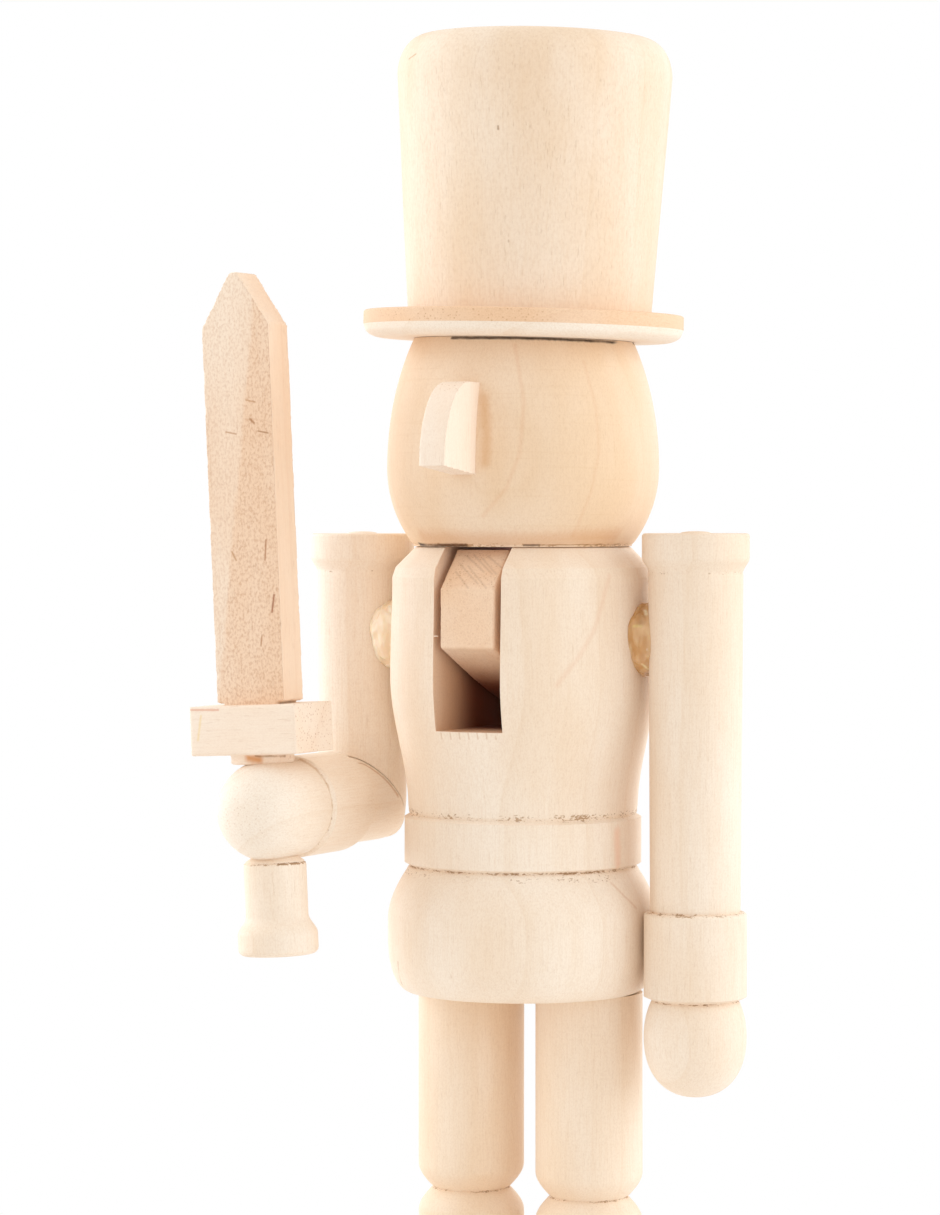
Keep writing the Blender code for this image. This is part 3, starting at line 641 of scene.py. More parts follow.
class Sheet:
    """Node tree with short ways to add nodes and join them."""

    def __init__(self, tree: bpy.types.NodeTree) -> None:
        """Start on a tree."""
        self.tree = tree

    def add(self, kind: str, takes: dict | None = None, **settings: object) -> bpy.types.Node:
        """Add a node.

        Args:
            kind: Blender's name for the node.
            takes: Value or source of each of its inputs.
            settings: Properties of the node itself.

        Returns:
            The node.
        """
        node = self.tree.nodes.new(kind)
        for name, value in settings.items():
            setattr(node, name, value)
        for key, value in (takes or {}).items():
            self.feed(node.inputs[key], value)
        return node

    def feed(self, socket: Socket, value: object) -> None:
        """Link a source to an input, or set the input to a value.

        Args:
            socket: The input.
            value: Its source or its value.
        """
        if isinstance(value, Socket):
            self.tree.links.new(value, socket)
        else:
            socket.default_value = value

    def maths(self, operation: str, *values: object) -> Socket:
        """Work out a number from others."""
        return self.add("ShaderNodeMath", dict(enumerate(values)), operation=operation).outputs[0]

    def times(self, first: object, second: object) -> Socket:
        """Multiply two numbers."""
        return self.maths("MULTIPLY", first, second)

    def scaled(self, value: object, factor: object, plus: object) -> Socket:
        """Multiply two numbers and add a third."""
        return self.maths("MULTIPLY_ADD", value, factor, plus)

    def vector(self, operation: str, *values: object) -> Socket:
        """Work out a vector from others."""
        return self.add("ShaderNodeVectorMath", dict(enumerate(values)), operation=operation).outputs[0]

    def length(self, value: object) -> Socket:
        """Measure a vector."""
        return self.add("ShaderNodeVectorMath", {0: value}, operation="LENGTH").outputs["Value"]

    def dot(self, first: object, second: object) -> Socket:
        """Multiply two vectors into a number."""
        takes = {0: first, 1: second}
        return self.add("ShaderNodeVectorMath", takes, operation="DOT_PRODUCT").outputs["Value"]

    def part(self, vector: object, axis: int) -> Socket:
        """Take one number out of a vector."""
        return self.add("ShaderNodeSeparateXYZ", {0: vector}).outputs[axis]

    def joined(self, *parts: object) -> Socket:
        """Make a vector of three numbers."""
        return self.add("ShaderNodeCombineXYZ", dict(enumerate(parts))).outputs[0]

    def smooth(self, value: object, low: object, high: object) -> Socket:
        """Step softly from 0 at the low value to 1 at the high one."""
        takes = {0: value, 1: low, 2: high}
        return self.add("ShaderNodeMapRange", takes, interpolation_type="SMOOTHSTEP").outputs[0]

    def mix(self, share: object, first: object, second: object) -> Socket:
        """Mix two colours."""
        takes = {0: share, 6: first, 7: second}
        return self.add("ShaderNodeMix", takes, data_type="RGBA").outputs[2]

    def over(self, colour: object, mask: object, show: object, code: str) -> Socket:
        """Lay a colour over another where a mask is, as strongly as it shows."""
        return self.mix(self.times(mask, show), colour, linear(code))

    def in_cells(self, place: object, across: object, along: object) -> Socket:
        """Measure places in cells of a width and a length."""
        return self.vector("DIVIDE", place, self.joined(across, across, along))

    def cells(self, vector: object) -> Outputs:
        """Scatter the middles of cells of unit size."""
        return self.add("ShaderNodeTexVoronoi", {"Vector": vector, "Scale": 1.0}).outputs

    def bumps(self, height: object, distance: float, strength: float) -> Socket:
        """Bend the normals of a surface by its heights."""
        takes = {"Height": height, "Distance": distance, "Strength": strength}
        return self.add("ShaderNodeBump", takes).outputs[0]

    def noise(self, vector: object, detail: float = 2.0, rough: float = 0.5) -> Socket:
        """Add cloudy noise of unit size."""
        takes = {"Vector": vector, "Scale": 1.0, "Detail": detail, "Roughness": rough}
        return self.add("ShaderNodeTexNoise", takes).outputs[0]


class Effect(Sheet):
    """Shader node group with named inputs and outputs, built once and placed in each material.

    Attributes:
        title: Name of the group.
        takes: Default of each input besides the place, None for a vector.
        gives: Names of the outputs.
    """

    title = ""
    takes: dict[str, float | None] = {}
    gives: Sequence[str] = ()

    def __init__(self) -> None:
        """Build the group."""
        super().__init__(bpy.data.node_groups.new(self.title, "ShaderNodeTree"))
        for label, value in {"Vector": None, **self.takes}.items():
            kind = "NodeSocketVector" if value is None else "NodeSocketFloat"
            socket = self.tree.interface.new_socket(label, in_out="INPUT", socket_type=kind)
            if value is not None:
                socket.default_value = value
        for label in self.gives:
            self.tree.interface.new_socket(label, in_out="OUTPUT", socket_type="NodeSocketFloat")
        self.given = self.add("NodeGroupInput").outputs
        self.spot = self.given["Vector"]
        self.wanted = self.add("NodeGroupOutput").inputs
        self.draw()

    def draw(self) -> None:
        """Draw the group's nodes and give each output its source."""
        raise NotImplementedError

    def give(self, **sources: Socket) -> None:
        """Feed the group's outputs."""
        for label, source in sources.items():
            self.feed(self.wanted[label], source)

    def place(self, sheet: Sheet, **values: object) -> Outputs:
        """Place the group in a material.

        Args:
            sheet: The material's sheet.
            values: Value or source of each input, with spaces in its name as underscores.

        Returns:
            The outputs of the placed group.
        """
        node = sheet.add("ShaderNodeGroup", node_tree=self.tree)
        for label, value in values.items():
            sheet.feed(node.inputs[label.replace("_", " ")], value)
        return node.outputs


class GrowthRings(Effect):
    """Year rings round the heart of the tree."""

    title = "growth_rings"
    takes = {"Pith": None, "Spacing": 0.005, "Waver": 0.0015}
    gives = ("Late",)
    squeeze = (1.0, 1.0, 0.03)
    sway_scale = (70.0, 70.0, 22.0)
    late_power = 6.0
    late_end = 0.96
    year_edges = (0.1, 0.9)

    def draw(self) -> None:
        """Draw the late wood of each year as a line that comes slowly and ends sharply."""
        from_pith = self.vector("SUBTRACT", self.spot, self.given["Pith"])
        across = self.vector("MULTIPLY", from_pith, self.squeeze)
        sway_place = self.vector("MULTIPLY", self.spot, self.sway_scale)
        sway = self.maths("SUBTRACT", self.noise(sway_place, detail=1.0), 0.5)
        distance = self.scaled(sway, self.given["Waver"], self.length(across))
        turns = self.maths("DIVIDE", distance, self.given["Spacing"])
        season = self.maths("FRACT", turns)
        year = self.add("ShaderNodeTexWhiteNoise", {"W": self.maths("FLOOR", turns)}, noise_dimensions="1D")
        ending = self.smooth(season, 1.0, self.late_end)
        late = self.times(self.maths("POWER", season, self.late_power), ending)
        strength = self.smooth(year.outputs["Value"], *self.year_edges)
        self.give(Late=self.times(late, strength))


class Fibre(Effect):
    """Streaks and open pores along the grain."""

    title = "wood_fibre"
    takes = {"Width": 0.0004, "Length": 0.008, "Limit": 0.62}
    gives = ("Streak", "Pore")
    pore_scale = (1.3, 1.3, 2.2)
    pore_shift = (37.0, 11.0, 5.0)
    pore_edge = 0.07

    def draw(self) -> None:
        """Draw long noise, and its highest parts as pores."""
        cell = self.in_cells(self.spot, self.given["Width"], self.given["Length"])
        moved = self.vector("MULTIPLY_ADD", cell, self.pore_scale, self.pore_shift)
        full = self.maths("ADD", self.given["Limit"], self.pore_edge)
        pore = self.smooth(self.noise(moved, detail=1.0), self.given["Limit"], full)
        self.give(Streak=self.noise(cell, detail=3.0, rough=0.6), Pore=pore)


class ToolLines(Effect):
    """Fine lines that the lathe tool leaves round a piece."""

    title = "tool_lines"
    takes = {"Pitch": 0.0005}
    gives = ("Line",)
    round_scale = 45.0

    def draw(self) -> None:
        """Draw noise that is drawn out round the axis."""
        place = self.add("ShaderNodeSeparateXYZ", {0: self.spot}).outputs
        level = self.maths("DIVIDE", place[2], self.given["Pitch"])
        across = [self.times(part, self.round_scale) for part in place[:2]]
        cell = self.joined(*across, level)
        self.give(Line=self.noise(cell, rough=0.65))


class Mottle(Effect):
    """Broad warm and pale patches, and small brown flecks."""

    title = "mottle"
    takes = {"Size": 0.016, "Fleck Gap": 0.007, "Fleck Size": 0.0003}
    gives = ("Warm", "Fleck")
    patch_height = 3.0
    patch_edges = (0.28, 0.72)
    fleck_height = 1.8
    fleck_core = 0.4
    fleck_luck = (0.82, 0.9)

    def draw(self) -> None:
        """Draw slow noise, and the middles of scattered cells."""
        tall = self.times(self.given["Size"], self.patch_height)
        patch = self.in_cells(self.spot, self.given["Size"], tall)
        warm = self.smooth(self.noise(patch), *self.patch_edges)
        gap = self.given["Fleck Gap"]
        spots = self.cells(self.in_cells(self.spot, gap, self.times(gap, self.fleck_height)))
        reach = self.maths("DIVIDE", self.given["Fleck Size"], gap)
        fleck = self.smooth(spots["Distance"], reach, self.times(reach, self.fleck_core))
        luck = self.part(spots["Color"], 0)
        self.give(Warm=warm, Fleck=self.times(fleck, self.smooth(luck, *self.fleck_luck)))


class EndGrain(Effect):
    """Dotted fibre ends where a face cuts across the grain."""

    title = "end_grain"
    takes = {"Normal": None, "Dot Gap": 0.0005}
    gives = ("Mask", "Dot")
    end_edges = (0.7, 0.92)
    dot_length = 12.0
    dot_edges = (0.42, 0.15)
    dot_luck = (0.3, 0.8)

    def draw(self) -> None:
        """Draw dots in the plane across the grain, and where the surface faces along it."""
        along = self.maths("ABSOLUTE", self.part(self.given["Normal"], 2))
        mask = self.smooth(along, *self.end_edges)
        gap = self.given["Dot Gap"]
        spots = self.cells(self.in_cells(self.spot, gap, self.times(gap, self.dot_length)))
        luck = self.part(spots["Color"], 1)
        dot = self.smooth(spots["Distance"], *self.dot_edges)
        self.give(Mask=mask, Dot=self.times(dot, self.smooth(luck, *self.dot_luck)))


class TornFibre(Effect):
    """Dashes of lifted fibre within a torn band."""

    title = "torn_fibre"
    takes = {"Band": 0.0, "Dash": 0.0007}
    gives = ("Mask",)
    dash_height = 0.45
    sound_limit = 0.76
    torn_fall = -0.36
    dash_edge = 0.07
    band_edges = (0.02, 0.2)

    def draw(self) -> None:
        """Draw short dashes that close up where the band is strong."""
        flat = self.times(self.given["Dash"], self.dash_height)
        cell = self.in_cells(self.spot, self.given["Dash"], flat)
        low = self.scaled(self.given["Band"], self.torn_fall, self.sound_limit)
        dash = self.smooth(self.noise(cell, rough=0.6), low, self.maths("ADD", low, self.dash_edge))
        self.give(Mask=self.times(dash, self.smooth(self.given["Band"], *self.band_edges)))


class Scorch(Effect):
    """Painted shade deep inside a saw cut: the colour darkens from its open ends to the figure's axis, where
    shadow falls.
    """

    title = "scorch"
    takes = {"Axis": 0.0, "Light": 0.0172, "Dark": 0.005}
    gives = ("Mask",)

    def draw(self) -> None:
        """Draw the distance from the axis, from front to back, as a soft step."""
        depth = self.maths("SUBTRACT", self.part(self.spot, 1), self.given["Axis"])
        away = self.maths("ABSOLUTE", depth)
        self.give(Mask=self.smooth(away, self.given["Light"], self.given["Dark"]))


class Stroke(Effect):
    """Short line on the surface between two places."""

    title = "stroke"
    takes = {"Start": None, "End": None, "Width": 0.0005}
    gives = ("Mask",)
    ragged_scale = (1400.0, 1400.0, 900.0)
    ragged_share = 0.7
    even_share = 0.65

    def draw(self) -> None:
        """Draw the distance from the line, with an uneven edge."""
        way = self.vector("SUBTRACT", self.given["End"], self.given["Start"])
        offset = self.vector("SUBTRACT", self.spot, self.given["Start"])
        takes = {0: self.dot(offset, way), 1: self.dot(way, way)}
        share = self.add("ShaderNodeMath", takes, operation="DIVIDE", use_clamp=True).outputs[0]
        nearest = self.add("ShaderNodeVectorMath", {0: way, "Scale": share}, operation="SCALE").outputs[0]
        distance = self.length(self.vector("SUBTRACT", offset, nearest))
        uneven = self.noise(self.vector("MULTIPLY", self.spot, self.ragged_scale), detail=1.0)
        distance = self.times(distance, self.scaled(uneven, self.ragged_share, self.even_share))
        half = self.times(self.given["Width"], 0.5)
        self.give(Mask=self.smooth(distance, half, 0.0))


class Effects:
    """All the shared effects."""

    def __init__(self) -> None:
        """Build each group once."""
        self.rings = GrowthRings()
        self.fibre = Fibre()
        self.tool_lines = ToolLines()
        self.mottle = Mottle()
        self.end_grain = EndGrain()
        self.torn_fibre = TornFibre()
        # Painted shade for wood inside the saw cut.
        self.scorch = Scorch()
        self.stroke = Stroke()


# Finishes


def new_finish(name: str) -> tuple[Material, Sheet, bpy.types.NodeInputs]:
    """Start a material.

    Args:
        name: Name of the material.

    Returns:
        The material, its sheet and the inputs of its shader.
    """
    material = bpy.data.materials.new(name)
    material.use_nodes = True
    sheet = Sheet(material.node_tree)
    return material, sheet, sheet.tree.nodes["Principled BSDF"].inputs


@dataclass(frozen=True)
class Blank:
    """Timber that one piece was cut from.

    Attributes:
        seed: Number that sets its own figure.
        tone: 0 for the palest wood, 1 for the warmest.
        pith: Where the heart of the tree lay, across the grain.
        grain: Way that the grain runs.
        slot_shade_axis: Where the figure's axis lies from front to back, for the shade painted on wood inside
            the saw cut.
        heart_side: Direction and level of a plane beyond which the wood is warmer and coarser.
    """

    seed: float
    tone: float = 0.35
    pith: Point = (0.05, 0.09)
    grain: Grain = Grain.UPRIGHT
    slot_shade_axis: float | None = None
    heart_side: tuple[Triple, float] | None = None


@dataclass(frozen=True)
class BareWood:
    """Unfinished wood, with a number for how strongly each thing in it shows.

    Attributes:
        pale, warm: Colours of the palest and of the warmest wood.
        late: Colour of the late wood in a year ring.
        torn: Colour of torn fibres and flecks.
        slot_shade_colour: Colour of the shade painted deep inside a saw cut, where shadow falls.
        slot: Material slot of a piece that is all of this wood.
        pore_limit: Level of noise that opens a pore, lower for more pores.
        sheen: Strength of the fuzz of fine fibres.
    """

    pale: str
    warm: str
    late: str
    pore: str
    torn: str
    # Colour of the painted shade inside the saw cut.
    slot_shade_colour: str = "#8E3C10"
    slot: Slot = Slot.TURNED_WOOD
    ring_spacing: float = 0.0055
    ring_show: float = 0.16
    fibre_width: float = 0.0003
    fibre_length: float = 0.006
    streak_show: float = 0.14
    pore_limit: float = 0.67
    pore_show: float = 0.14
    speckle_size: float = 0.00028
    speckle_show: float = 0.12
    tool_show: float = 0.05
    end_show: float = 0.06
    fleck_show: float = 0.6
    slot_shade_show: float = 0.92
    torn_show: float = 0.35
    torn_show_rise: float = 0.55
    tone_spread: float = 0.4
    streak_edges: Point = (0.38, 0.72)
    speckle_edges: Point = (0.4, 0.7)
    speckle_stretch: float = 1.5
    tool_edges: Point = (0.55, 0.75)
    sawn_edges: Point = (0.5, 0.8)
    sawn_speckle: float = 0.65
    side_speckle: float = 0.1
    heart_speckle: float = 0.45
    heart_warmth: float = 0.3
    heart_waver: float = 0.0016
    heart_waver_scale: Triple = (500.0, 500.0, 160.0)
    heart_border: float = 0.0011
    roughness: float = 0.42
    roughness_rise: float = 0.25
    relief: float = 0.00002
    relief_strength: float = 0.7
    gloss: float = 0.18
    sheen: float = 0.04
    sheen_roughness: float = 0.5

    def material(self, name: str, blank: Blank, effects: Effects) -> Material:
        """Make the finish for one piece.

        Args:
            name: Name of the material.
            blank: Timber that the piece was cut from.
            effects: The shared effects.

        Returns:
            The material.
        """
        material, sheet, shader = new_finish(name)
        source = sheet.add("ShaderNodeTexCoord").outputs
        turn = {"Rotation": blank.grain.value}
        place = sheet.add("ShaderNodeMapping", {"Vector": source["Object"], **turn}).outputs[0]
        facing_takes = {"Vector": source["Normal"], **turn}
        facing = sheet.add("ShaderNodeMapping", facing_takes, vector_type="VECTOR").outputs[0]
        figure = sheet.vector("ADD", place, [blank.seed * way for way in SEED_WAY])
        rings = effects.rings.place(sheet, Vector=place, Pith=(*blank.pith, 0.0), Spacing=self.ring_spacing)
        fibre = effects.fibre.place(
            sheet, Vector=figure, Width=self.fibre_width, Length=self.fibre_length, Limit=self.pore_limit
        )
        tool = effects.tool_lines.place(sheet, Vector=figure)
        mottle = effects.mottle.place(sheet, Vector=figure)
        ends = effects.end_grain.place(sheet, Vector=figure, Normal=facing)
        speckle = effects.fibre.place(
            sheet, Vector=figure, Width=self.speckle_size, Length=self.speckle_size * self.speckle_stretch
        )["Streak"]
        band = sheet.add("ShaderNodeAttribute", attribute_name="torn").outputs["Fac"]
        torn = effects.torn_fibre.place(sheet, Vector=place, Band=band)["Mask"]

        warmth = sheet.scaled(mottle["Warm"], self.tone_spread, blank.tone - self.tone_spread / 2)
        speckled = sheet.smooth(speckle, *self.speckle_edges)
        roughened = speckle
        if blank.heart_side:
            forward = sheet.maths("ABSOLUTE", sheet.part(source["Normal"], 1))
            sawn = sheet.smooth(forward, *self.sawn_edges)
            heart = sheet.times(self.heart_mask(sheet, source["Object"], blank), sawn)
            warmth = sheet.scaled(heart, self.heart_warmth, warmth)
            sawn = sheet.scaled(sawn, self.sawn_speckle, self.side_speckle)
            speckled = sheet.times(speckled, sheet.scaled(heart, self.heart_speckle, sawn))
            roughened = sheet.times(roughened, sawn)
        colour = sheet.mix(warmth, linear(self.pale), linear(self.warm))
        layers = [
            (rings["Late"], self.ring_show, self.late),
            (sheet.smooth(fibre["Streak"], *self.streak_edges), self.streak_show, self.late),
            (speckled, self.speckle_show, self.pore),
            (sheet.smooth(tool["Line"], *self.tool_edges), self.tool_show, self.late),
            (fibre["Pore"], self.pore_show, self.pore),
            (sheet.times(ends["Mask"], ends["Dot"]), self.end_show, self.pore),
            (mottle["Fleck"], self.fleck_show, self.torn),
            (torn, sheet.scaled(band, self.torn_show_rise, self.torn_show), self.torn),
        ]
        # Painted shade: the wood darkens deep inside the saw cut, where shadow falls.
        if blank.slot_shade_axis is not None:
            scorch = effects.scorch.place(sheet, Vector=source["Object"], Axis=blank.slot_shade_axis)["Mask"]
            layers.append((scorch, self.slot_shade_show, self.slot_shade_colour))
        for mask, show, code in layers:
            colour = sheet.over(colour, mask, show, code)
        sheet.feed(shader["Base Color"], colour)

        roughness = sheet.scaled(fibre["Streak"], self.roughness_rise, self.roughness)
        sheet.feed(shader["Roughness"], roughness)
        height = sheet.scaled(tool["Line"], self.tool_show, roughened)
        height = sheet.maths("SUBTRACT", height, fibre["Pore"])
        height = sheet.maths("SUBTRACT", height, torn)
        sheet.feed(shader["Normal"], sheet.bumps(height, self.relief, self.relief_strength))
        shader["Specular IOR Level"].default_value = self.gloss
        shader["Sheen Weight"].default_value = self.sheen
        shader["Sheen Roughness"].default_value = self.sheen_roughness
        return material

    def heart_mask(self, sheet: Sheet, place: Socket, blank: Blank) -> Socket:
        """Draw the wood beyond the blank's heart plane, with a wavering border.

        Args:
            sheet: The material's sheet.
            place: Places in the piece's own axes.
            blank: Timber with a heart plane.

        Returns:
            1 beyond the plane and 0 before it.
        """
        direction, level = blank.heart_side
        waver = sheet.noise(sheet.vector("MULTIPLY", place, self.heart_waver_scale))
        beyond = sheet.scaled(waver, self.heart_waver, sheet.dot(place, direction))
        return sheet.smooth(beyond, level, level + self.heart_border)


TURNED_WOOD = BareWood(pale="#F9E9D6", warm="#EBC8A2", late="#DCB384", pore="#BC8A5A", torn="#AE855C")
SAWN_WOOD = BareWood(
    pale="#F9E7D3", warm="#F0C8A2", late="#DAA577", pore="#B97F50", torn="#B07C52",
    slot=Slot.SAWN_WOOD, speckle_show=0.14, tool_show=0.0, end_show=0.45, relief=0.00005,
)
ROUGH_WOOD = BareWood(
    pale="#FAE7D1", warm="#EDC5A1", late="#DEAC82", pore="#BC8052", torn="#B07C52",
    slot=Slot.SAWN_WOOD, streak_show=0.1, speckle_size=0.00042, speckle_show=0.34, tool_show=0.0,
    relief=0.00006,
)
PEELED_WOOD = replace(TURNED_WOOD, speckle_size=0.0005, relief=0.00006)
PLANED_WOOD = replace(SAWN_WOOD, streak_show=0.08, speckle_show=0.07, end_show=0.5, relief=0.00002)
DOWEL_WOOD = BareWood(pale="#F0D6B0", warm="#D9B483", late="#C39A66", pore="#9A6B40", torn="#6A4020")


@dataclass(frozen=True)
class HotGlue:
    """Set hot-melt glue, cloudy and a little yellow.

    Attributes:
        clear: Colour where it is thin.
        cloudy: Colour where it is thick or full of bubbles.
        depth: How deep light goes in.
    """

    clear: str
    cloudy: str
    bubble: str = "#FBEBD3"
    bubble_show: float = 0.6
    bubble_gap: float = 0.0016
    bubble_size: float = 0.0003
    cloud_size: float = 0.002
    roughness: float = 0.2
    roughness_rise: float = 0.2
    relief: float = 0.0003
    relief_strength: float = 0.5
    depth: float = 0.002
    depth_share: float = 0.25
    depth_tint: Triple = (1.0, 0.6, 0.3)

    def material(self, name: str, effects: Effects) -> Material:
        """Make the finish for one bead.

        Args:
            name: Name of the material.
            effects: The shared effects.

        Returns:
            The material.
        """
        material, sheet, shader = new_finish(name)
        place = sheet.add("ShaderNodeTexCoord").outputs["Object"]
        mottle = effects.mottle.place(
            sheet, Vector=place, Size=self.cloud_size, Fleck_Gap=self.bubble_gap, Fleck_Size=self.bubble_size
        )
        colour = sheet.mix(mottle["Warm"], linear(self.clear), linear(self.cloudy))
        sheet.feed(shader["Base Color"], sheet.over(colour, mottle["Fleck"], self.bubble_show, self.bubble))
        sheet.feed(shader["Roughness"], sheet.scaled(mottle["Warm"], self.roughness_rise, self.roughness))
        sheet.feed(shader["Normal"], sheet.bumps(mottle["Warm"], self.relief, self.relief_strength))
        shader["Subsurface Weight"].default_value = self.depth_share
        shader["Subsurface Radius"].default_value = self.depth_tint
        shader["Subsurface Scale"].default_value = self.depth
        return material


AMBER_GLUE = HotGlue(clear="#C8945C", cloudy="#E2BB8C")
CREAM_GLUE = HotGlue(clear="#EED2AE", cloudy="#F8E6CC")


@dataclass(frozen=True)
class PinSteel:
    """Drawn steel wire, bright with duller lines."""

    bright: str = "#B9BBBE"
    dull: str = "#8C8F93"
    line_width: float = 0.0001
    line_length: float = 0.01
    roughness: float = 0.2
    roughness_rise: float = 0.3

    def material(self, name: str, effects: Effects) -> Material:
        """Make the finish, with drawing lines along the wire.

        Args:
            name: Name of the material.
            effects: The shared effects.

        Returns:
            The material.
        """
        material, sheet, shader = new_finish(name)
        place = sheet.add("ShaderNodeTexCoord").outputs["Object"]
        line = effects.fibre.place(sheet, Vector=place, Width=self.line_width, Length=self.line_length)
        streak = line["Streak"]
        sheet.feed(shader["Base Color"], sheet.mix(streak, linear(self.bright), linear(self.dull)))
        sheet.feed(shader["Roughness"], sheet.scaled(streak, self.roughness_rise, self.roughness))
        shader["Metallic"].default_value = 1.0
        return material


# Camera of the photograph and marks that are placed by it


@dataclass(frozen=True)
class PhotoCamera:
    """Camera that stands where the photograph was taken from.

    Attributes:
        azimuth: Direction that it stands in, from the figure's front towards its left.
        distance: How far it stands from the figure's axis.
        lens, sensor: Focal length and sensor's width in millimetres.
        aim_aside: How far beside the axis it aims.
        pixels: Width and height of the photograph.
    """

    azimuth: float = math.radians(25.5)
    distance: float = 0.72
    height: float = 0.167
    lens: float = 115.56
    sensor: float = 36.0
    aim_aside: float = -0.00978
    aim_height: float = 0.149
    pixels: Point = (940.0, 1215.0)
    clip_start: float = 0.01

    @property
    def stand(self) -> Matrix:
        """Place and turn of the camera.

        Returns:
            The matrix from the camera's own axes to the frame's.
        """
        forward = Vector((math.sin(self.azimuth), -math.cos(self.azimuth), 0.0))
        aside = Vector((math.cos(self.azimuth), math.sin(self.azimuth), 0.0))
        place = forward * self.distance + up(self.height)
        aim = aside * self.aim_aside + up(self.aim_height)
        return Matrix.Translation(place) @ (place - aim).to_track_quat("Z", "Y").to_matrix().to_4x4()

    def seen_on(self, piece: Piece, pixel: Point) -> Vector | None:
        """Find the place on a piece that a pixel of the photograph shows.

        Args:
            piece: The piece to look at.
            pixel: Pixel from the photograph's upper left corner.

        Returns:
            The place in the piece's own axes, or None where the piece doesn't show.
        """
        width, height = self.pixels
        reach = max(width, height) / self.sensor * self.lens
        way = Vector((pixel[0] - width / 2, height / 2 - pixel[1], -reach))
        inwards = piece.matrix_world.inverted() @ self.stand
        start = inwards @ Vector((0.0, 0.0, 0.0))
        hit, place, _, _ = piece.ray_cast(start, (inwards @ way - start).normalized())
        return place if hit else None

    def build(self) -> None:
        """Set the camera up."""
        camera = bpy.data.cameras.new("photo_camera")
        camera.lens = self.lens
        camera.sensor_width = self.sensor
        camera.clip_start = self.clip_start
        holder = in_scene("photo_camera", camera)
        holder.matrix_world = self.stand
        bpy.context.scene.camera = holder


CAMERA = PhotoCamera()


@dataclass(frozen=True)
class Mark:
    """Line in a surface, placed by where it shows in the photograph.

    Attributes:
        path: Pixels that it passes.
        share: How strongly it shows.
    """

    path: Sequence[Point]
    width: float
    colour: str
    share: float

    def short_steps(self) -> Profile:
        """Add pixels to the path, so that each step lies on a curved surface.

        Returns:
            All the pixels, in order.
        """
        pixels = [self.path[0]]
        for (x, y), (next_x, next_y) in zip(self.path, self.path[1:]):
            count = math.ceil(math.dist((x, y), (next_x, next_y)) / MARK_STEP)
            for step in range(1, count + 1):
                pixels.append((x + (next_x - x) * step / count, y + (next_y - y) * step / count))
        return pixels

    def draw(self, piece: Piece, effects: Effects) -> None:
        """Draw the mark into a piece's main finish.

        Args:
            piece: The piece that carries the mark.
            effects: The shared effects.
        """
        places = [CAMERA.seen_on(piece, pixel) for pixel in self.short_steps()]
        sheet = Sheet(piece.data.materials[0].node_tree)
        target = sheet.tree.nodes["Principled BSDF"].inputs["Base Color"]
        source = sheet.add("ShaderNodeTexCoord").outputs["Object"]
        whole = None
        for start, end in zip(places, places[1:]):
            if start is None or end is None:
                log.warning("%s: a mark misses it", piece.name)
                continue
            mask = effects.stroke.place(sheet, Vector=source, Start=start, End=end, Width=self.width)["Mask"]
            whole = sheet.maths("MAXIMUM", whole, mask) if whole else mask
        if whole:
            sheet.feed(target, sheet.over(target.links[0].from_socket, whole, self.share, self.colour))


# Pieces


@dataclass
class SubAssembly:
    """Part of the figure that makes its own meshes and dresses them.

    Attributes:
        effects: The shared effects.
    """

    effects: Effects

    def build(self) -> None:
        """Make each mesh and dress it."""
        raise NotImplementedError

    def add(
        self,
        name: str,
        node: str,
        mesh: Mesh,
        place: Matrix,
        materials: Sequence[Material],
        slot: Slot = Slot.TURNED_WOOD,
        rider: Rider = Rider.FIGURE,
        marks: Sequence[Mark] = (),
    ) -> Piece:
        """Put a finished piece in the scene.

        Args:
            name: Name of the piece.
            node: Node of the frame that it stands in for.
            mesh: Its shape in its own axes.
            place: Where it stands.
            materials: Its finishes, the main one first.
            slot: Not used.
            rider: Body that it moves with.
            marks: Marks in its main finish.

        Returns:
            The piece.
        """
        mesh.name = name
        finish_of_face = np.empty(len(mesh.polygons), dtype=np.int32)
        mesh.polygons.foreach_get("material_index", finish_of_face)
        mesh.materials.clear()
        for material in materials:
            mesh.materials.append(material)
        mesh.polygons.foreach_set("material_index", finish_of_face)
        piece = in_scene(name, mesh)
        piece.matrix_world = place
        bpy.context.view_layer.update()
        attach(piece, rider.value)
        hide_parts(node)
        for mark in marks:
            mark.draw(piece, self.effects)
        log.info("%s: %d faces", name, len(mesh.polygons))
        return piece

    def add_wooden(
        self, node: str, mesh: Mesh, place: Matrix, wood: BareWood, blank: Blank, **more: object
    ) -> None:
        """Put a piece of one wood in the scene, with more of what "add" takes."""
        name = node + "_wood"
        self.add(name, node, mesh, place, [wood.material(name, blank, self.effects)], wood.slot, **more)


# Base, legs and boots


@dataclass
class Plinth(SubAssembly):
    """Round base in two tiers."""

    step_inset: float = 0.004
    step_height: float = 0.007
    rounding: float = 0.0026
    edge_break: float = 0.0006
    tear_cover: float = 0.4
    seed: float = 1.3
    tone: float = 0.4

    def build(self) -> None:
        """Turn the base and dress it."""
        span = Span.of("base")
        radius = span.size.x / 2
        height = span.size.z
        step_radius = radius - self.step_inset
        step_foot = height - self.step_height
        profile = [(0.0, height)]
        profile += top_edge(step_radius, height, self.rounding)
        profile += [(step_radius, step_foot)]
        profile += top_edge(radius, step_foot, self.rounding)
        profile += [(radius, self.edge_break), (radius - self.edge_break, 0.0), (0.0, 0.0)]
        mesh = turned(profile, BODY_SIDES, self.seed, [Tear(step_foot, cover=self.tear_cover)])
        self.add_wooden("base", mesh, span.foot, TURNED_WOOD, Blank(self.seed, self.tone))


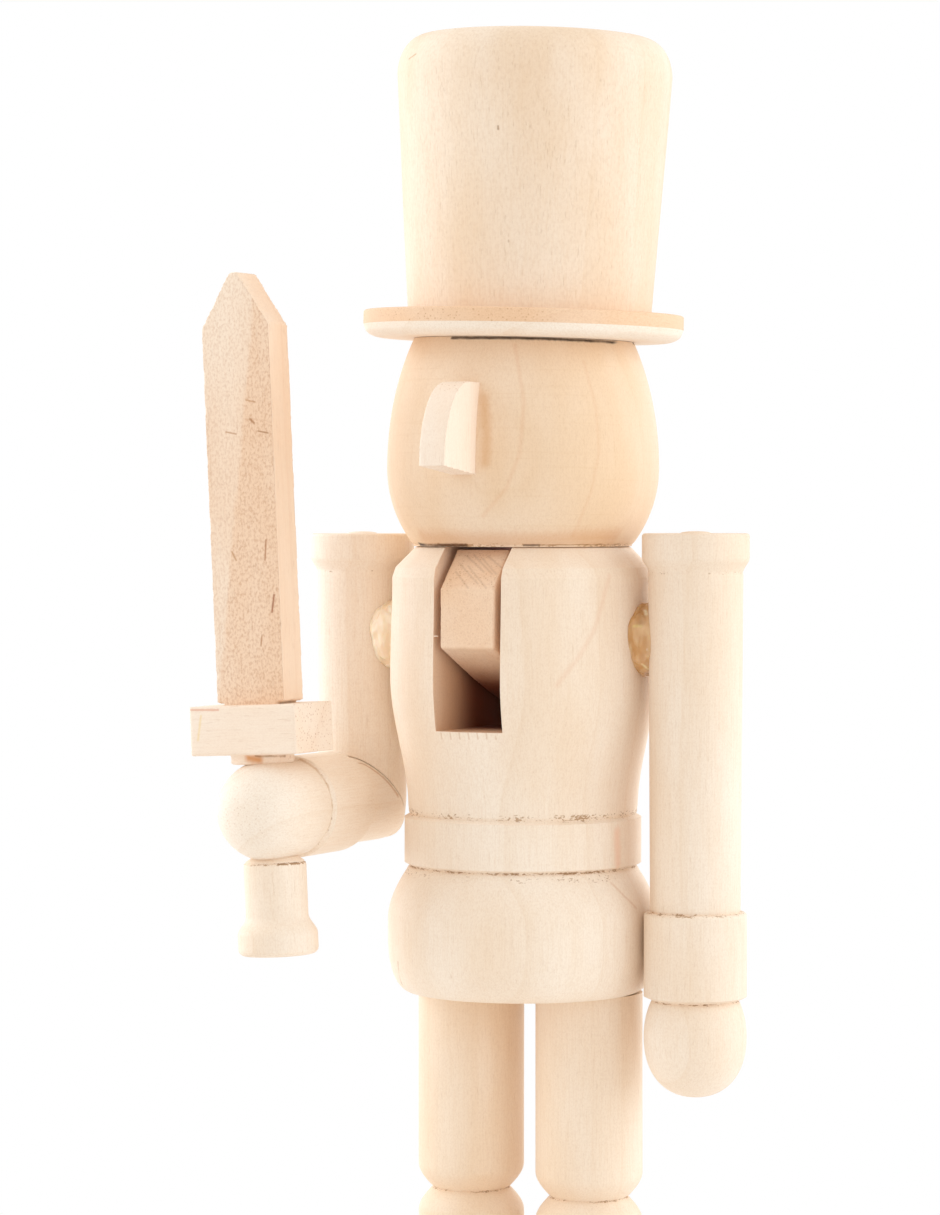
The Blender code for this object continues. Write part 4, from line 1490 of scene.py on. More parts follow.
@dataclass
class Leg(SubAssembly):
    """Leg in one piece with its boot, and the toe glued to the boot."""

    side: Side
    seed: float
    tone: float
    boot_height: float = 0.0242
    ankle_inset: float = 0.0027
    ankle_round: float = 0.0045
    edge_break: float = 0.0006
    toe_half_width: float = 0.0085
    toe_height: float = 0.0105
    toe_seed_shift: float = 3.0
    pith: Point = (0.05, 0.06)

    def build(self) -> None:
        """Turn the leg, shape the toe and dress both."""
        node = "leg_" + self.side.word
        span = Span.of(node)
        ankle_tear = Tear(self.boot_height, reach=0.0004, cover=0.6)
        mesh = turned(self.profile(span), LIMB_SIDES, self.seed, [ankle_tear])
        blank = Blank(self.seed, self.tone, pith=(self.pith[0] * self.side.value, self.pith[1]))
        self.add_wooden(node, mesh, span.foot, TURNED_WOOD, blank)
        toe_node = "toe_cap_" + self.side.word
        toe = self.toe(Span.of(toe_node), span)
        toe_blank = Blank(self.seed + self.toe_seed_shift, self.tone, grain=Grain.FORWARD)
        self.add_wooden(toe_node, toe, span.foot, TURNED_WOOD, toe_blank)

    def profile(self, span: Span) -> Profile:
        """Draw the leg from its top down to its sole.

        Args:
            span: Box of the leg's node.

        Returns:
            The profile, with the sole at height 0.
        """
        radius = span.size.x / 2
        height = span.size.z - GLUED_FOOT
        ankle = (radius - self.ankle_inset, self.boot_height)
        profile = [(0.0, height), (radius, height)]
        profile += swell(ankle, (radius, self.boot_height + self.ankle_round))[::-1]
        profile += swell(ankle, (radius, self.boot_height - self.ankle_round))[1:]
        profile += [(radius, self.edge_break), (radius - self.edge_break, 0.0), (0.0, 0.0)]
        return profile

    def toe(self, toe_span: Span, leg_span: Span) -> Mesh:
        """Shape the toe: the front of an egg, hollowed to fit the boot.

        Args:
            toe_span: Box of the toe's node.
            leg_span: Box of the leg's node.

        Returns:
            The toe in the leg's axes.
        """
        reach = leg_span.middle.y - toe_span.low.y
        upper = quarter((0.0, self.toe_height), (self.toe_half_width, 0.0))
        lower = quarter((0.0, -self.toe_height), (self.toe_half_width, 0.0))
        mesh = turned(upper + lower[-2::-1], LIMB_SIDES, self.seed)
        mesh.transform(Matrix.Diagonal((1.0, reach / self.toe_half_width, 1.0, 1.0)))
        for waste in ((0.0, 0.0, -1.0), (0.0, 1.0, 0.0)):
            saw(mesh, Vector((0.0, 0.0, 0.0)), Vector(waste))
        return carved(mesh, pole(leg_span.size.x / 2 + GLUE_LINE, 2 * self.toe_height, LIMB_SIDES))


# Torso


SPLINTER_ROOT = (431.0, 636.0)
CHEST_RING = ((609, 576), (603, 601), (595, 629), (579, 657), (557, 685))
TORSO_MARKS = (
    Mark(CHEST_RING, width=0.0018, colour="#DC9A6C", share=0.16),
    Mark(((611, 883), (636, 908)), width=0.0009, colour="#C98F5C", share=0.3),
    Mark(((617, 832), (618, 864)), width=0.0034, colour="#F0B894", share=0.45),
    Mark(((398, 962), (402, 984)), width=0.0007, colour="#A9743F", share=0.6),
    *(Mark(((x, 733), (x + 1, 739)), width=0.0005, colour="#C4925E", share=0.4) for x in range(441, 500, 9)),
)


@dataclass
class Torso(SubAssembly):
    """Chest, belt and coat skirt turned in one piece, slotted for the jaw lever."""

    skirt_height: float = 0.0233
    skirt_top_inset: float = 0.0036
    skirt_swell: float = 0.0095
    hem_round_depth: float = 0.004
    hem_round_height: float = 0.009
    belt_radius: float = 0.0219
    belt_height: float = 0.0094
    groove_depth: float = 0.0009
    groove_width: float = 0.0011
    chest_radius: float = 0.02455
    chest_widest: float = 0.0255
    waist_radius: float = 0.0212
    shoulder_radius: float = 0.02415
    shoulder_depth: float = 0.0044
    shoulder_bevel: float = 0.0038
    shoulder_height: float = 0.0056
    bevel_round: float = 0.0009
    slot_side_play: float = 0.0013
    slot_depth: float = 0.0332
    slot_lip: float = 0.0015
    splinter: Triple = (0.0008, 0.00014, 0.00012)
    splinter_uneven: float = 0.2
    splinter_seed: float = 19.6
    slot_seed: float = 4.2
    seed: float = 2.1

    def build(self) -> None:
        """Turn the torso, cut its slot and its pin hole, and dress it."""
        span = Span.of("torso")
        belt = self.skirt_height
        waist = belt + self.belt_height
        tears = [
            Tear(waist + self.groove_width / 2, reach=0.0011, cover=0.5, lean=0.1),
            Tear(belt, reach=0.00045, cover=0.6, lean=0.25),
            Tear(belt - self.groove_width, reach=0.0011, cover=0.25),
        ]
        mesh = turned(self.profile(span), BODY_SIDES, self.seed, tears)
        blank = Blank(self.seed, tone=0.3, pith=(0.03, 0.075))
        wood = TURNED_WOOD.material("torso_wood", blank, self.effects)
        # The slot's walls get painted shade that darkens towards the figure's axis.
        slot_blank = Blank(self.slot_seed, tone=0.75, slot_shade_axis=0.0)
        sawn = SAWN_WOOD.material("slot_wood", slot_blank, self.effects)
        mesh.materials.append(wood)
        mesh = carved(mesh, self.slot_tool(span, sawn), keep_tool_finish=True)
        mesh = carved(mesh, self.pin_tool(span))
        place = Matrix.Translation(up(span.low.z))
        piece = self.add("torso_wood", "torso", mesh, place, [wood, sawn], marks=TORSO_MARKS)
        splinter = lump(self.splinter, self.splinter_uneven, self.splinter_seed, rows=3)
        splinter.transform(Matrix.Translation(CAMERA.seen_on(piece, SPLINTER_ROOT)))
        splinter.transform(Matrix.Translation((self.splinter[0], 0.0, 0.0)))
        weld(mesh, splinter)

    def profile(self, span: Span) -> Profile:
        """Draw the torso from the neck down to the hem.

        Args:
            span: Box of the torso's node.

        Returns:
            The profile, with the hem at height 0.
        """
        belt = self.skirt_height
        waist = belt + self.belt_height
        top = span.size.z
        half_groove = self.groove_width / 2
        groove_radius = self.belt_radius - self.groove_depth
        chest = (self.chest_radius, waist + self.chest_widest)
        skirt_radius = span.size.x / 2
        neck = self.shoulder_radius - self.shoulder_depth
        bevel = (neck + self.shoulder_bevel, top - self.shoulder_bevel)
        side = (self.shoulder_radius, top - self.shoulder_height)
        profile = [(0.0, top)]
        profile += rounded_path([(0.0, top), (neck, top), bevel, side, chest], self.bevel_round)[1:-1]
        profile += ease(side, chest)[1:]
        profile += ease(chest, (self.waist_radius, waist + half_groove))[1:]
        profile += [(groove_radius, waist), (self.belt_radius, waist - half_groove)]
        profile += [(self.belt_radius, belt + half_groove), (groove_radius, belt)]
        skirt_top = (skirt_radius - self.skirt_top_inset, belt - half_groove)
        profile += swell(skirt_top, (skirt_radius, skirt_top[1] - self.skirt_swell))
        hem = (skirt_radius - self.hem_round_depth, 0.0)
        profile += quarter(hem, (skirt_radius, self.hem_round_height))[::-1]
        profile += [(0.0, 0.0)]
        return profile

    def slot_tool(self, span: Span, finish: Material) -> Mesh:
        """Shape the slot, open to the front, the top and the back.

        Args:
            span: Box of the torso's node.
            finish: Sawn wood for its walls.

        Returns:
            The slot in the torso's axes.
        """
        width = Span.of("jaw_lever").size.x + 2 * self.slot_side_play
        top = span.size.z
        floor = top - self.slot_depth
        lip = self.skirt_height + self.belt_height + self.slot_lip
        clear = span.size.x
        above = top + self.shoulder_height
        outline = [(-clear, floor), (0.0, floor), (self.waist_radius, lip), (clear, lip)]
        outline += [(clear, above), (-clear, above)]
        tool = prism(outline, width)
        tool.materials.append(finish)
        return tool

    def pin_tool(self, span: Span) -> Mesh:
        """Shape the hole for the cross pin.

        Args:
            span: Box of the torso's node.

        Returns:
            The hole in the torso's axes.
        """
        pin = Span.of("jaw_pin")
        tool = pole(pin.size.z / 2 + PIN_PLAY, span.size.x, SMALL_SIDES)
        tool.transform(Matrix.Translation(pin.middle - up(span.low.z)) @ LAID_ACROSS)
        return tool


# Jaw lever


LEVER_MARKS = tuple(
    Mark(path, width=0.0007, colour="#8A5A36", share=0.2)
    for path in (
        ((467, 556), (484, 572)),
        ((474, 555), (492, 574)),
        ((483, 559), (496, 574)),
        ((460, 564), (478, 584)),
        ((468, 566), (486, 588)),
        ((488, 556), (501, 567)),
        ((456, 572), (468, 588)),
    )
)


@dataclass
class JawLever(SubAssembly):
    """Sawn lever on its cross pin: jaw in front, tail behind."""

    torso: Torso
    face_foot: float = 0.0151
    face_drop: float = 0.0075
    chamfer: float = 0.0068
    undercut_depth: float = 0.0136
    undercut_drop: float = 0.0239
    bite_length: float = 0.0075
    under_slope: float = math.radians(20.7)
    back_slope: float = math.radians(24.0)
    lip_clearance: float = 0.0018
    finger_gap: float = 0.0065
    tail_root_thickness: float = 0.012
    tail_end_thickness: float = 0.00895
    tail_round: float = 0.003
    elbow_round: float = 0.014
    crook_round: float = 0.012
    rod_edge: float = 0.125
    voxel: float = 0.00034
    seed: float = 5.1
    tone: float = 0.75

    def build(self) -> None:
        """Saw the lever, cut the pin and dress both."""
        pin = Span.of("jaw_pin")
        pivot = pin.middle
        place = Matrix.Translation(pivot)
        span = Span.of("jaw_lever")
        outline = [(y - pivot.y, z - pivot.z) for y, z in rounded_outline(self.corners(span))]
        mesh = SawnWear(voxel=self.voxel).applied(prism(outline, span.size.x), self.seed)
        radius = pin.size.z / 2
        hole = turned(self.rod(radius + PIN_PLAY, span.size.x), SMALL_SIDES, 0.0)
        hole.transform(LAID_ACROSS)
        mesh = carved(mesh, hole)
        # The lever gets painted shade that darkens where it lies deep inside the slot.
        blank = Blank(self.seed, self.tone, grain=Grain.DOWN_THE_TAIL, slot_shade_axis=-pivot.y)
        self.add_wooden("jaw_lever", mesh, place, SAWN_WOOD, blank, rider=Rider.LEVER, marks=LEVER_MARKS)
        wire = turned(self.rod(radius, pin.size.x / 2), SMALL_SIDES, 0.0)
        steel = PinSteel().material("jaw_pin_steel", self.effects)
        self.add("jaw_pin_steel", "jaw_pin", wire, place @ LAID_ACROSS, [steel], Slot.PIN_STEEL)

    def rod(self, radius: float, half_length: float) -> Profile:
        """Draw a rod with its ends broken by a share of its radius.

        Args:
            radius: Its radius.
            half_length: Half of its length.

        Returns:
            The profile, with the rod's middle at height 0.
        """
        edge = radius * self.rod_edge
        upper = [(0.0, half_length), (radius - edge, half_length), (radius, half_length - edge)]
        return upper + [(r, -z) for r, z in reversed(upper)]

    def corners(self, span: Span) -> list[Triple]:
        """List the corners of the lever's side view.

        Args:
            span: Box of the lever's node.

        Returns:
            Place and rounding of each corner.
        """
        torso = self.torso
        torso_span = Span.of("torso")
        slot_floor = torso_span.high.z - torso.slot_depth
        lip_level = torso_span.low.z + torso.skirt_height + torso.belt_height + torso.slot_lip
        front = span.low.y
        bite_back = (front + self.chamfer + self.bite_length, span.high.z)
        undercut = (front + self.undercut_depth, span.high.z - self.undercut_drop)
        inner_root = (torso.waist_radius + self.lip_clearance, lip_level)
        inner_end = (torso_span.size.x / 2 + self.finger_gap, span.low.z)
        outer_root = (inner_root[0] + self.tail_root_thickness, lip_level)
        outer_end = (inner_end[0] + self.tail_end_thickness, span.low.z)
        elbow = self.meet(bite_back, self.back_slope, outer_root, outer_end)
        crook = self.meet(undercut, self.under_slope, inner_root, inner_end)
        return [
            (front, slot_floor + self.face_foot, 0.0),
            (front, torso_span.high.z - self.face_drop, 0.0),
            (front + self.chamfer, span.high.z, 0.0),
            (*bite_back, self.crook_round),
            (*elbow, self.elbow_round),
            (*outer_end, self.tail_round),
            (*inner_end, self.tail_round),
            (*crook, self.crook_round),
            (*undercut, self.crook_round),
        ]

    def meet(self, point: Point, slope: float, start: Point, end: Point) -> Point:
        """Find where a line that falls backwards from a point meets a line through two others.

        Args:
            point: Where the falling line starts.
            slope: How steeply it falls.
            start: First point of the other line.
            end: Second point of the other line.

        Returns:
            The meeting point.
        """
        fall = math.tan(slope)
        lean = (end[0] - start[0]) / (end[1] - start[1])
        z = (point[1] - (start[0] - lean * start[1] - point[0]) * fall) / (1 + lean * fall)
        return start[0] + lean * (z - start[1]), z


# Head, nose and hat


FACE_RING = ((515, 345), (524, 403), (520, 452), (507, 487), (483, 516))
CHEEK_RING = ((584, 362), (596, 408), (599, 452), (591, 492), (573, 536))
BRIM_SHADOW_LINE = ((452, 338), (510, 338), (550, 339), (590, 341), (634, 344))
HEAD_MARKS_AND_SHADOWS = (
    Mark(FACE_RING, width=0.0014, colour="#D99A64", share=0.18),
    Mark(CHEEK_RING, width=0.0014, colour="#D99A64", share=0.14),
    Mark(((484, 398), (487, 440), (485, 462)), width=0.0034, colour="#CF9659", share=0.4),
    # Painted shadow: a near-black line in the gap under the brim.
    Mark(BRIM_SHADOW_LINE, width=0.001, colour="#1E0A02", share=0.95),
    # Painted shadow: a near-black line in the gap between the head and the torso, at its left end.
    Mark(((420, 544), (441, 545), (466, 545)), width=0.0014, colour="#2B1206", share=0.95),
    # Painted shade: a broad warm band along the head's foot, where it turns down out of the light.
    Mark(((424, 537), (470, 539), (540, 539), (614, 536)), width=0.0056, colour="#CF8A50", share=0.34),
    Mark(((524, 545), (539, 545)), width=0.0008, colour="#4E2C10", share=0.85),
    Mark(((539, 545), (619, 544)), width=0.0006, colour="#9A6936", share=0.6),
)
CROWN_MARKS = (
    Mark(((498, 126), (498, 129)), width=0.0006, colour="#8A5F38", share=0.7),
    Mark(((409, 59), (416, 54)), width=0.0006, colour="#B88A52", share=0.6),
)


@dataclass
class Head(SubAssembly):
    """Turned barrel of a head with a sawn nose, its top sawn to the hat's tilt."""

    height: float = 0.0376
    top_radius: float = 0.0203
    foot_radius: float = 0.0202
    widest: float = 0.0142
    hat_tilt: float = math.radians(1.4)
    tool_lines: float = 0.16
    nose_top_reach: float = 0.00225
    nose_under_rise: float = 0.0014
    nose_tip_height: float = 0.0015
    seed: float = 3.4
    nose_seed: float = 6.2

    def build(self) -> None:
        """Turn the head, saw the nose and dress both."""
        span = Span.of("head")
        tears = [
            Tear(0.0, reach=0.0006, cover=0.35, lean=0.5, facing=math.radians(-125.0)),
            Tear(0.0, reach=0.0005, cover=0.4, lean=0.3, facing=math.radians(-30.0)),
        ]
        mesh = turned(self.profile(span), BODY_SIDES, self.seed, tears)
        square_to_hat = Vector((math.sin(self.hat_tilt), 0.0, math.cos(self.hat_tilt)))
        saw(mesh, up(self.height), square_to_hat)
        wood = replace(TURNED_WOOD, tool_show=self.tool_lines)
        blank = Blank(self.seed, tone=0.75, pith=(-0.02, 0.06))
        place = Matrix.Translation(up(span.low.z))
        self.add_wooden("head", mesh, place, wood, blank, marks=HEAD_MARKS_AND_SHADOWS)
        self.build_nose(span)

    def profile(self, span: Span) -> Profile:
        """Draw the head, run a little past its seat so that the seat can be sawn.

        Args:
            span: Box of the head's node.

        Returns:
            The profile, with the chin at height 0.
        """
        widest = (span.size.x / 2, self.widest)
        past_seat = 1 + 2 * self.top_radius * math.sin(self.hat_tilt) / (self.height - self.widest)
        upper = barrel(widest, (self.top_radius, self.height), past_seat)
        lower = barrel(widest, (self.foot_radius, 0.0))
        chin = [(self.foot_radius, GLUED_FOOT), (0.0, GLUED_FOOT)]
        return [(0.0, upper[-1][1])] + upper[::-1] + lower[1:] + chin

    def build_nose(self, head: Span) -> None:
        """Saw the nose and dress it.

        Args:
            head: Box of the head's node.
        """
        span = Span.of("nose")
        tip = -span.low.y
        brow = (head.size.x / 2 + self.nose_top_reach, span.size.z)
        ridge = quarter(brow, (tip, self.nose_tip_height))
        outline = [(-reach, height) for reach, height in ridge]
        root = head.size.x / 2
        outline += [(-tip, self.nose_under_rise), (-root, 0.0), (-root / 2, 0.0), (-root / 2, span.size.z)]
        wear = SawnWear(voxel=0.00025, rough=0.00003, chip=0.00012)
        mesh = wear.applied(prism(outline, span.size.x), self.nose_seed)
        tool = turned(self.profile(head), LIMB_SIDES, self.seed)
        tool.transform(Matrix.Translation(up(head.low.z - span.low.z)))
        place = Matrix.Translation(up(span.low.z))
        blank = Blank(self.nose_seed, tone=0.18)
        self.add_wooden("nose", carved(mesh, tool), place, PLANED_WOOD, blank)


@dataclass
class Hat(SubAssembly):
    """Brim and tall crown, leaning a little and glued on off centre."""

    head: Head
    brim_radius: float = 0.02955
    brim_thickness: float = 0.0047
    brim_top_round: float = 0.0004
    brim_bevel_height: float = 0.0021
    brim_bevel_depth: float = 0.0034
    crown_offset: float = 0.0012
    crown_height: float = 0.0501
    crown_foot_radius: float = 0.02245
    crown_radius: float = 0.0253
    crown_round_depth: float = 0.005
    crown_round_height: float = 0.007
    crown_dome: float = 0.0004
    brim_seed: float = 7.3
    crown_seed: float = 8.4

    def build(self) -> None:
        """Turn the brim and the crown and dress them."""
        seat = up(Span.of("head").low.z + self.head.height)
        lean = Matrix.Rotation(self.head.hat_tilt, 4, "Y")
        brim = turned(self.brim_profile(), BODY_SIDES, self.brim_seed)
        # The brim's side takes warm sawn wood and its bevelled foot pale turned wood: the end grain is real,
        # the warm side is painted shade and the pale foot is painted light from the floor below.
        for face in brim.polygons:
            face.material_index = int(face.center.z < self.brim_bevel_height)
        side = Blank(self.brim_seed, tone=1.0, grain=Grain.FORWARD)
        brim_shaded_and_lit_woods = [
            SAWN_WOOD.material("hat_brim_wood", side, self.effects),
            TURNED_WOOD.material("hat_brim_lit_foot_wood", replace(side, tone=0.0), self.effects),
        ]
        brim.transform(lean)
        place = Matrix.Translation(seat + lean @ up(FRAME_SEAM))
        self.add("hat_brim_wood", "hat_brim", brim, place, brim_shaded_and_lit_woods)
        crown = turned(self.crown_profile(), BODY_SIDES, self.crown_seed)
        crown.transform(lean)
        crown_foot = Vector((self.crown_offset, 0.0, self.brim_thickness + 2 * FRAME_SEAM))
        place = Matrix.Translation(seat + lean @ crown_foot)
        blank = Blank(self.crown_seed, tone=0.5)
        self.add_wooden("hat_crown", crown, place, PEELED_WOOD, blank, marks=CROWN_MARKS)

    def brim_profile(self) -> Profile:
        """Draw the brim from its top down to the bevel under its edge.

        Returns:
            The profile, with the top of its seam at height 0.
        """
        inner_edge = (self.brim_radius - self.brim_bevel_depth, GLUED_FOOT)
        bevel = quarter(inner_edge, (self.brim_radius, self.brim_bevel_height))[::-1]
        profile = [(0.0, self.brim_thickness)]
        profile += top_edge(self.brim_radius, self.brim_thickness, self.brim_top_round)
        return profile + [bevel[0], *bevel[CURVE_STEPS // 3:], (0.0, GLUED_FOOT)]

    def crown_profile(self) -> Profile:
        """Draw the crown from its low dome down to its foot.

        Returns:
            The profile, with the top of its seam at height 0.
        """
        flat = (self.crown_radius - self.crown_round_depth, self.crown_height)
        side = (self.crown_radius, self.crown_height - self.crown_round_height)
        foot = [(self.crown_foot_radius, GLUED_FOOT), (0.0, GLUED_FOOT)]
        return [(0.0, self.crown_height + self.crown_dome)] + quarter(flat, side) + foot


# Arms


@dataclass
class ArmPattern:
    """Turned form that both arms follow."""

    collar_radius: float = 0.00975
    collar_height: float = 0.0071
    collar_round: float = 0.0006
    collar_straight: float = 0.0044
    nub_radius: float = 0.0028
    nub_height: float = 0.0009
    nub_show: float = 0.0004
    sleeve_top_radius: float = 0.0086
    sleeve_cuff_radius: float = 0.0082
    sleeve_length: float = 0.0614
    cuff_radius: float = 0.00935
    cuff_length: float = 0.016
    cuff_round: float = 0.0007
    wrist_radius: float = 0.0079
    hand_radius: float = 0.00935
    hand_length: float = 0.0176
    hand_widest: float = 0.0066

    def sleeve_radius(self, below_collar: float) -> float:
        """Radius of the tapered sleeve at a distance below the collar."""
        share = below_collar / self.sleeve_length
        return self.sleeve_top_radius + (self.sleeve_cuff_radius - self.sleeve_top_radius) * share

    def collar(self) -> Profile:
        """Draw the lathe nub and the collar, down to the top of the sleeve.

        Returns:
            The profile, with the collar's top at height 0.
        """
        profile = quarter((0.0, self.nub_show), (self.nub_radius, 0.0))
        profile += top_edge(self.collar_radius, 0.0, self.collar_round)
        sleeve_top = (self.sleeve_radius(0.0), -self.collar_height)
        return profile + ease((self.collar_radius, -self.collar_straight), sleeve_top)

    def cuff_and_hand(self, cuff_top: float, wrist_radius: float) -> Profile:
        """Draw the cuff and the rounded hand, with the groove of the wrist between them.

        Args:
            cuff_top: Height of the cuff's top.
            wrist_radius: Radius in the groove.

        Returns:
            The profile from the sleeve's foot down to the fingertips.
        """
        wrist = cuff_top - self.cuff_length
        widest = (self.hand_radius, wrist - self.hand_widest)
        profile = [(self.sleeve_cuff_radius, cuff_top)]
        profile += top_edge(self.cuff_radius, cuff_top, self.cuff_round)
        profile += [(self.cuff_radius, wrist + self.cuff_round), (wrist_radius, wrist)]
        profile += barrel(widest, (wrist_radius, wrist))[-2::-1]
        profile += blunt(widest, wrist - self.hand_length)[1:]
        return profile

    def tears(self, cuff_top: float, cover: float) -> list[Tear]:
        """Torn rings at the top of the cuff and at the wrist."""
        wrist = cuff_top - self.cuff_length
        return [Tear(cuff_top, reach=0.0005, cover=cover), Tear(wrist, reach=0.0004, cover=cover)]


@dataclass
class StraightArm(SubAssembly):
    """Arm that hangs at the figure's left side."""

    pattern: ArmPattern
    seed: float = 9.5
    tone: float = 0.27

    def build(self) -> None:
        """Turn the arm and dress it."""
        span = Span.of("arm_left")
        pattern = self.pattern
        cuff_top = -pattern.collar_height - pattern.sleeve_length
        profile = pattern.collar() + pattern.cuff_and_hand(cuff_top, pattern.wrist_radius)
        tears = pattern.tears(cuff_top, cover=0.55) + [Tear(-pattern.collar_height, reach=0.0005, cover=0.3)]
        mesh = turned(profile, LIMB_SIDES, self.seed, tears)
        place = Matrix.Translation((span.middle.x, span.middle.y, span.high.z - pattern.nub_height))
        self.add_wooden("arm_left", mesh, place, TURNED_WOOD, Blank(self.seed, self.tone))


# Painted shade: brown lines along the mitre seam and the wrist groove, where shadow falls in them.
MITRE_SHADE_LINE = ((350, 757.5), (362, 763.5), (374, 770.5), (389, 783.5), (398, 796))
WRIST_SHADE_LINE = ((300, 759), (316, 769), (328, 786), (332, 806), (329, 826), (318, 843))
FOREARM_SHADE_LINES = (
    Mark(MITRE_SHADE_LINE, width=0.001, colour="#B8803F", share=0.6),
    Mark(WRIST_SHADE_LINE, width=0.0007, colour="#C3935A", share=0.5),
)


@dataclass
class BentArm(SubAssembly):
    """Arm sawn through at the elbow and glued up as a mitre, with the forearm level."""

    pattern: ArmPattern
    elbow_drop: float = 0.0499
    forearm_sleeve: float = 0.0123
    wrist_radius: float = 0.0087
    seam: float = 0.00016
    corner_trim: float = 0.0009
    corner_reach: float = 0.0035
    fist_end_grain: float = 0.25
    upper_seed: float = 10.6
    fore_seed: float = 11.7

    @property
    def elbow(self) -> Vector:
        """Where the axes of the upper arm and the forearm meet."""
        span = Span.of("upper_arm_right")
        return Vector((span.middle.x, span.middle.y, span.high.z - self.pattern.nub_height - self.elbow_drop))

    @property
    def fist(self) -> Vector:
        """Middle of the fist."""
        reach = self.forearm_sleeve + self.pattern.cuff_length + self.pattern.hand_widest
        return self.elbow - Vector((0.0, reach, 0.0))

    def build(self) -> None:
        """Turn both halves, saw the mitre and dress them."""
        pattern = self.pattern
        radius = pattern.sleeve_radius(self.elbow_drop - pattern.collar_height)
        past = pattern.cuff_radius * 2
        foot = -self.elbow_drop - past
        profile = pattern.collar() + [(radius, -self.elbow_drop), (radius, foot), (0.0, foot)]
        tears = [Tear(-pattern.collar_height, reach=0.0005, cover=0.2)]
        upper = turned(profile, LIMB_SIDES, self.upper_seed, tears)
        upper.transform(Matrix.Translation(up(self.elbow_drop)))
        self.mitre(upper, Vector((0.0, -1.0, -1.0)))
        place = Matrix.Translation(self.elbow)
        self.add_wooden("upper_arm_right", upper, place, TURNED_WOOD, Blank(self.upper_seed, tone=0.0))

        profile = [(0.0, past), (radius, past), (radius, 0.0)]
        profile += pattern.cuff_and_hand(-self.forearm_sleeve, self.wrist_radius)
        fore = turned(profile, LIMB_SIDES, self.fore_seed, pattern.tears(-self.forearm_sleeve, cover=0.35))
        self.mitre(fore, Vector((0.0, -1.0, 1.0)))
        wood = replace(TURNED_WOOD, end_show=self.fist_end_grain)
        blank = Blank(self.fore_seed, tone=0.0)
        self.add_wooden("forearm_right", fore, place @ LAID_FORWARD, wood, blank, marks=FOREARM_SHADE_LINES)

    def mitre(self, mesh: Mesh, beyond: Vector) -> None:
        """Saw one half of the arm at the elbow and soften the outer corner.

        Args:
            mesh: Half of the arm with the elbow at the origin, its axis on Z and the outer corner towards +Y.
            beyond: Direction across the saw cut, towards the waste.
        """
        beyond = beyond.normalized()
        saw(mesh, -beyond * self.seam / 2, beyond)
        for vertex in mesh.vertices:
            depth = -vertex.co.dot(beyond)
            if depth > self.corner_reach:
                continue
            radial = Vector((vertex.co.x, vertex.co.y, 0.0))
            if radial.length < WELD:
                continue
            outward = max(radial.normalized().y, 0.0)
            trim = self.corner_trim * (1 - max(depth, 0.0) / self.corner_reach) ** 2 * outward
            vertex.co -= radial.normalized() * trim * radial.length / self.pattern.sleeve_cuff_radius


# Sword


BLADE_MARKS = (
    Mark(((266, 540), (265, 560)), width=0.0006, colour="#A5663C", share=0.75),
    Mark(((274, 595), (272, 612)), width=0.0007, colour="#96502B", share=0.8),
    Mark(((262, 635), (261, 646)), width=0.0005, colour="#AE744A", share=0.7),
    Mark(((226, 432), (236, 434)), width=0.0005, colour="#B47C50", share=0.65),
    Mark(((258, 431), (268, 433)), width=0.0005, colour="#A56C40", share=0.75),
    Mark(((250, 419), (254, 423)), width=0.0008, colour="#A56A38", share=0.75),
    Mark(((246, 400), (255, 402)), width=0.0005, colour="#B98050", share=0.6),
    Mark(((232, 552), (236, 560)), width=0.0006, colour="#B47C48", share=0.65),
)
GUARD_MARKS_AND_SHADOW = (
    Mark(((191, 710), (218, 710)), width=0.0007, colour="#DD9272", share=0.6),
    Mark(((201, 716), (198, 740)), width=0.0008, colour="#F0CE88", share=0.5),
    Mark(((249, 758), (259, 760)), width=0.0026, colour="#D4883A", share=0.8),
    # Painted shadow: a dark line under the guard, where it sits over the neck.
    Mark(((256, 756), (285, 756)), width=0.0007, colour="#98662F", share=0.7),
)


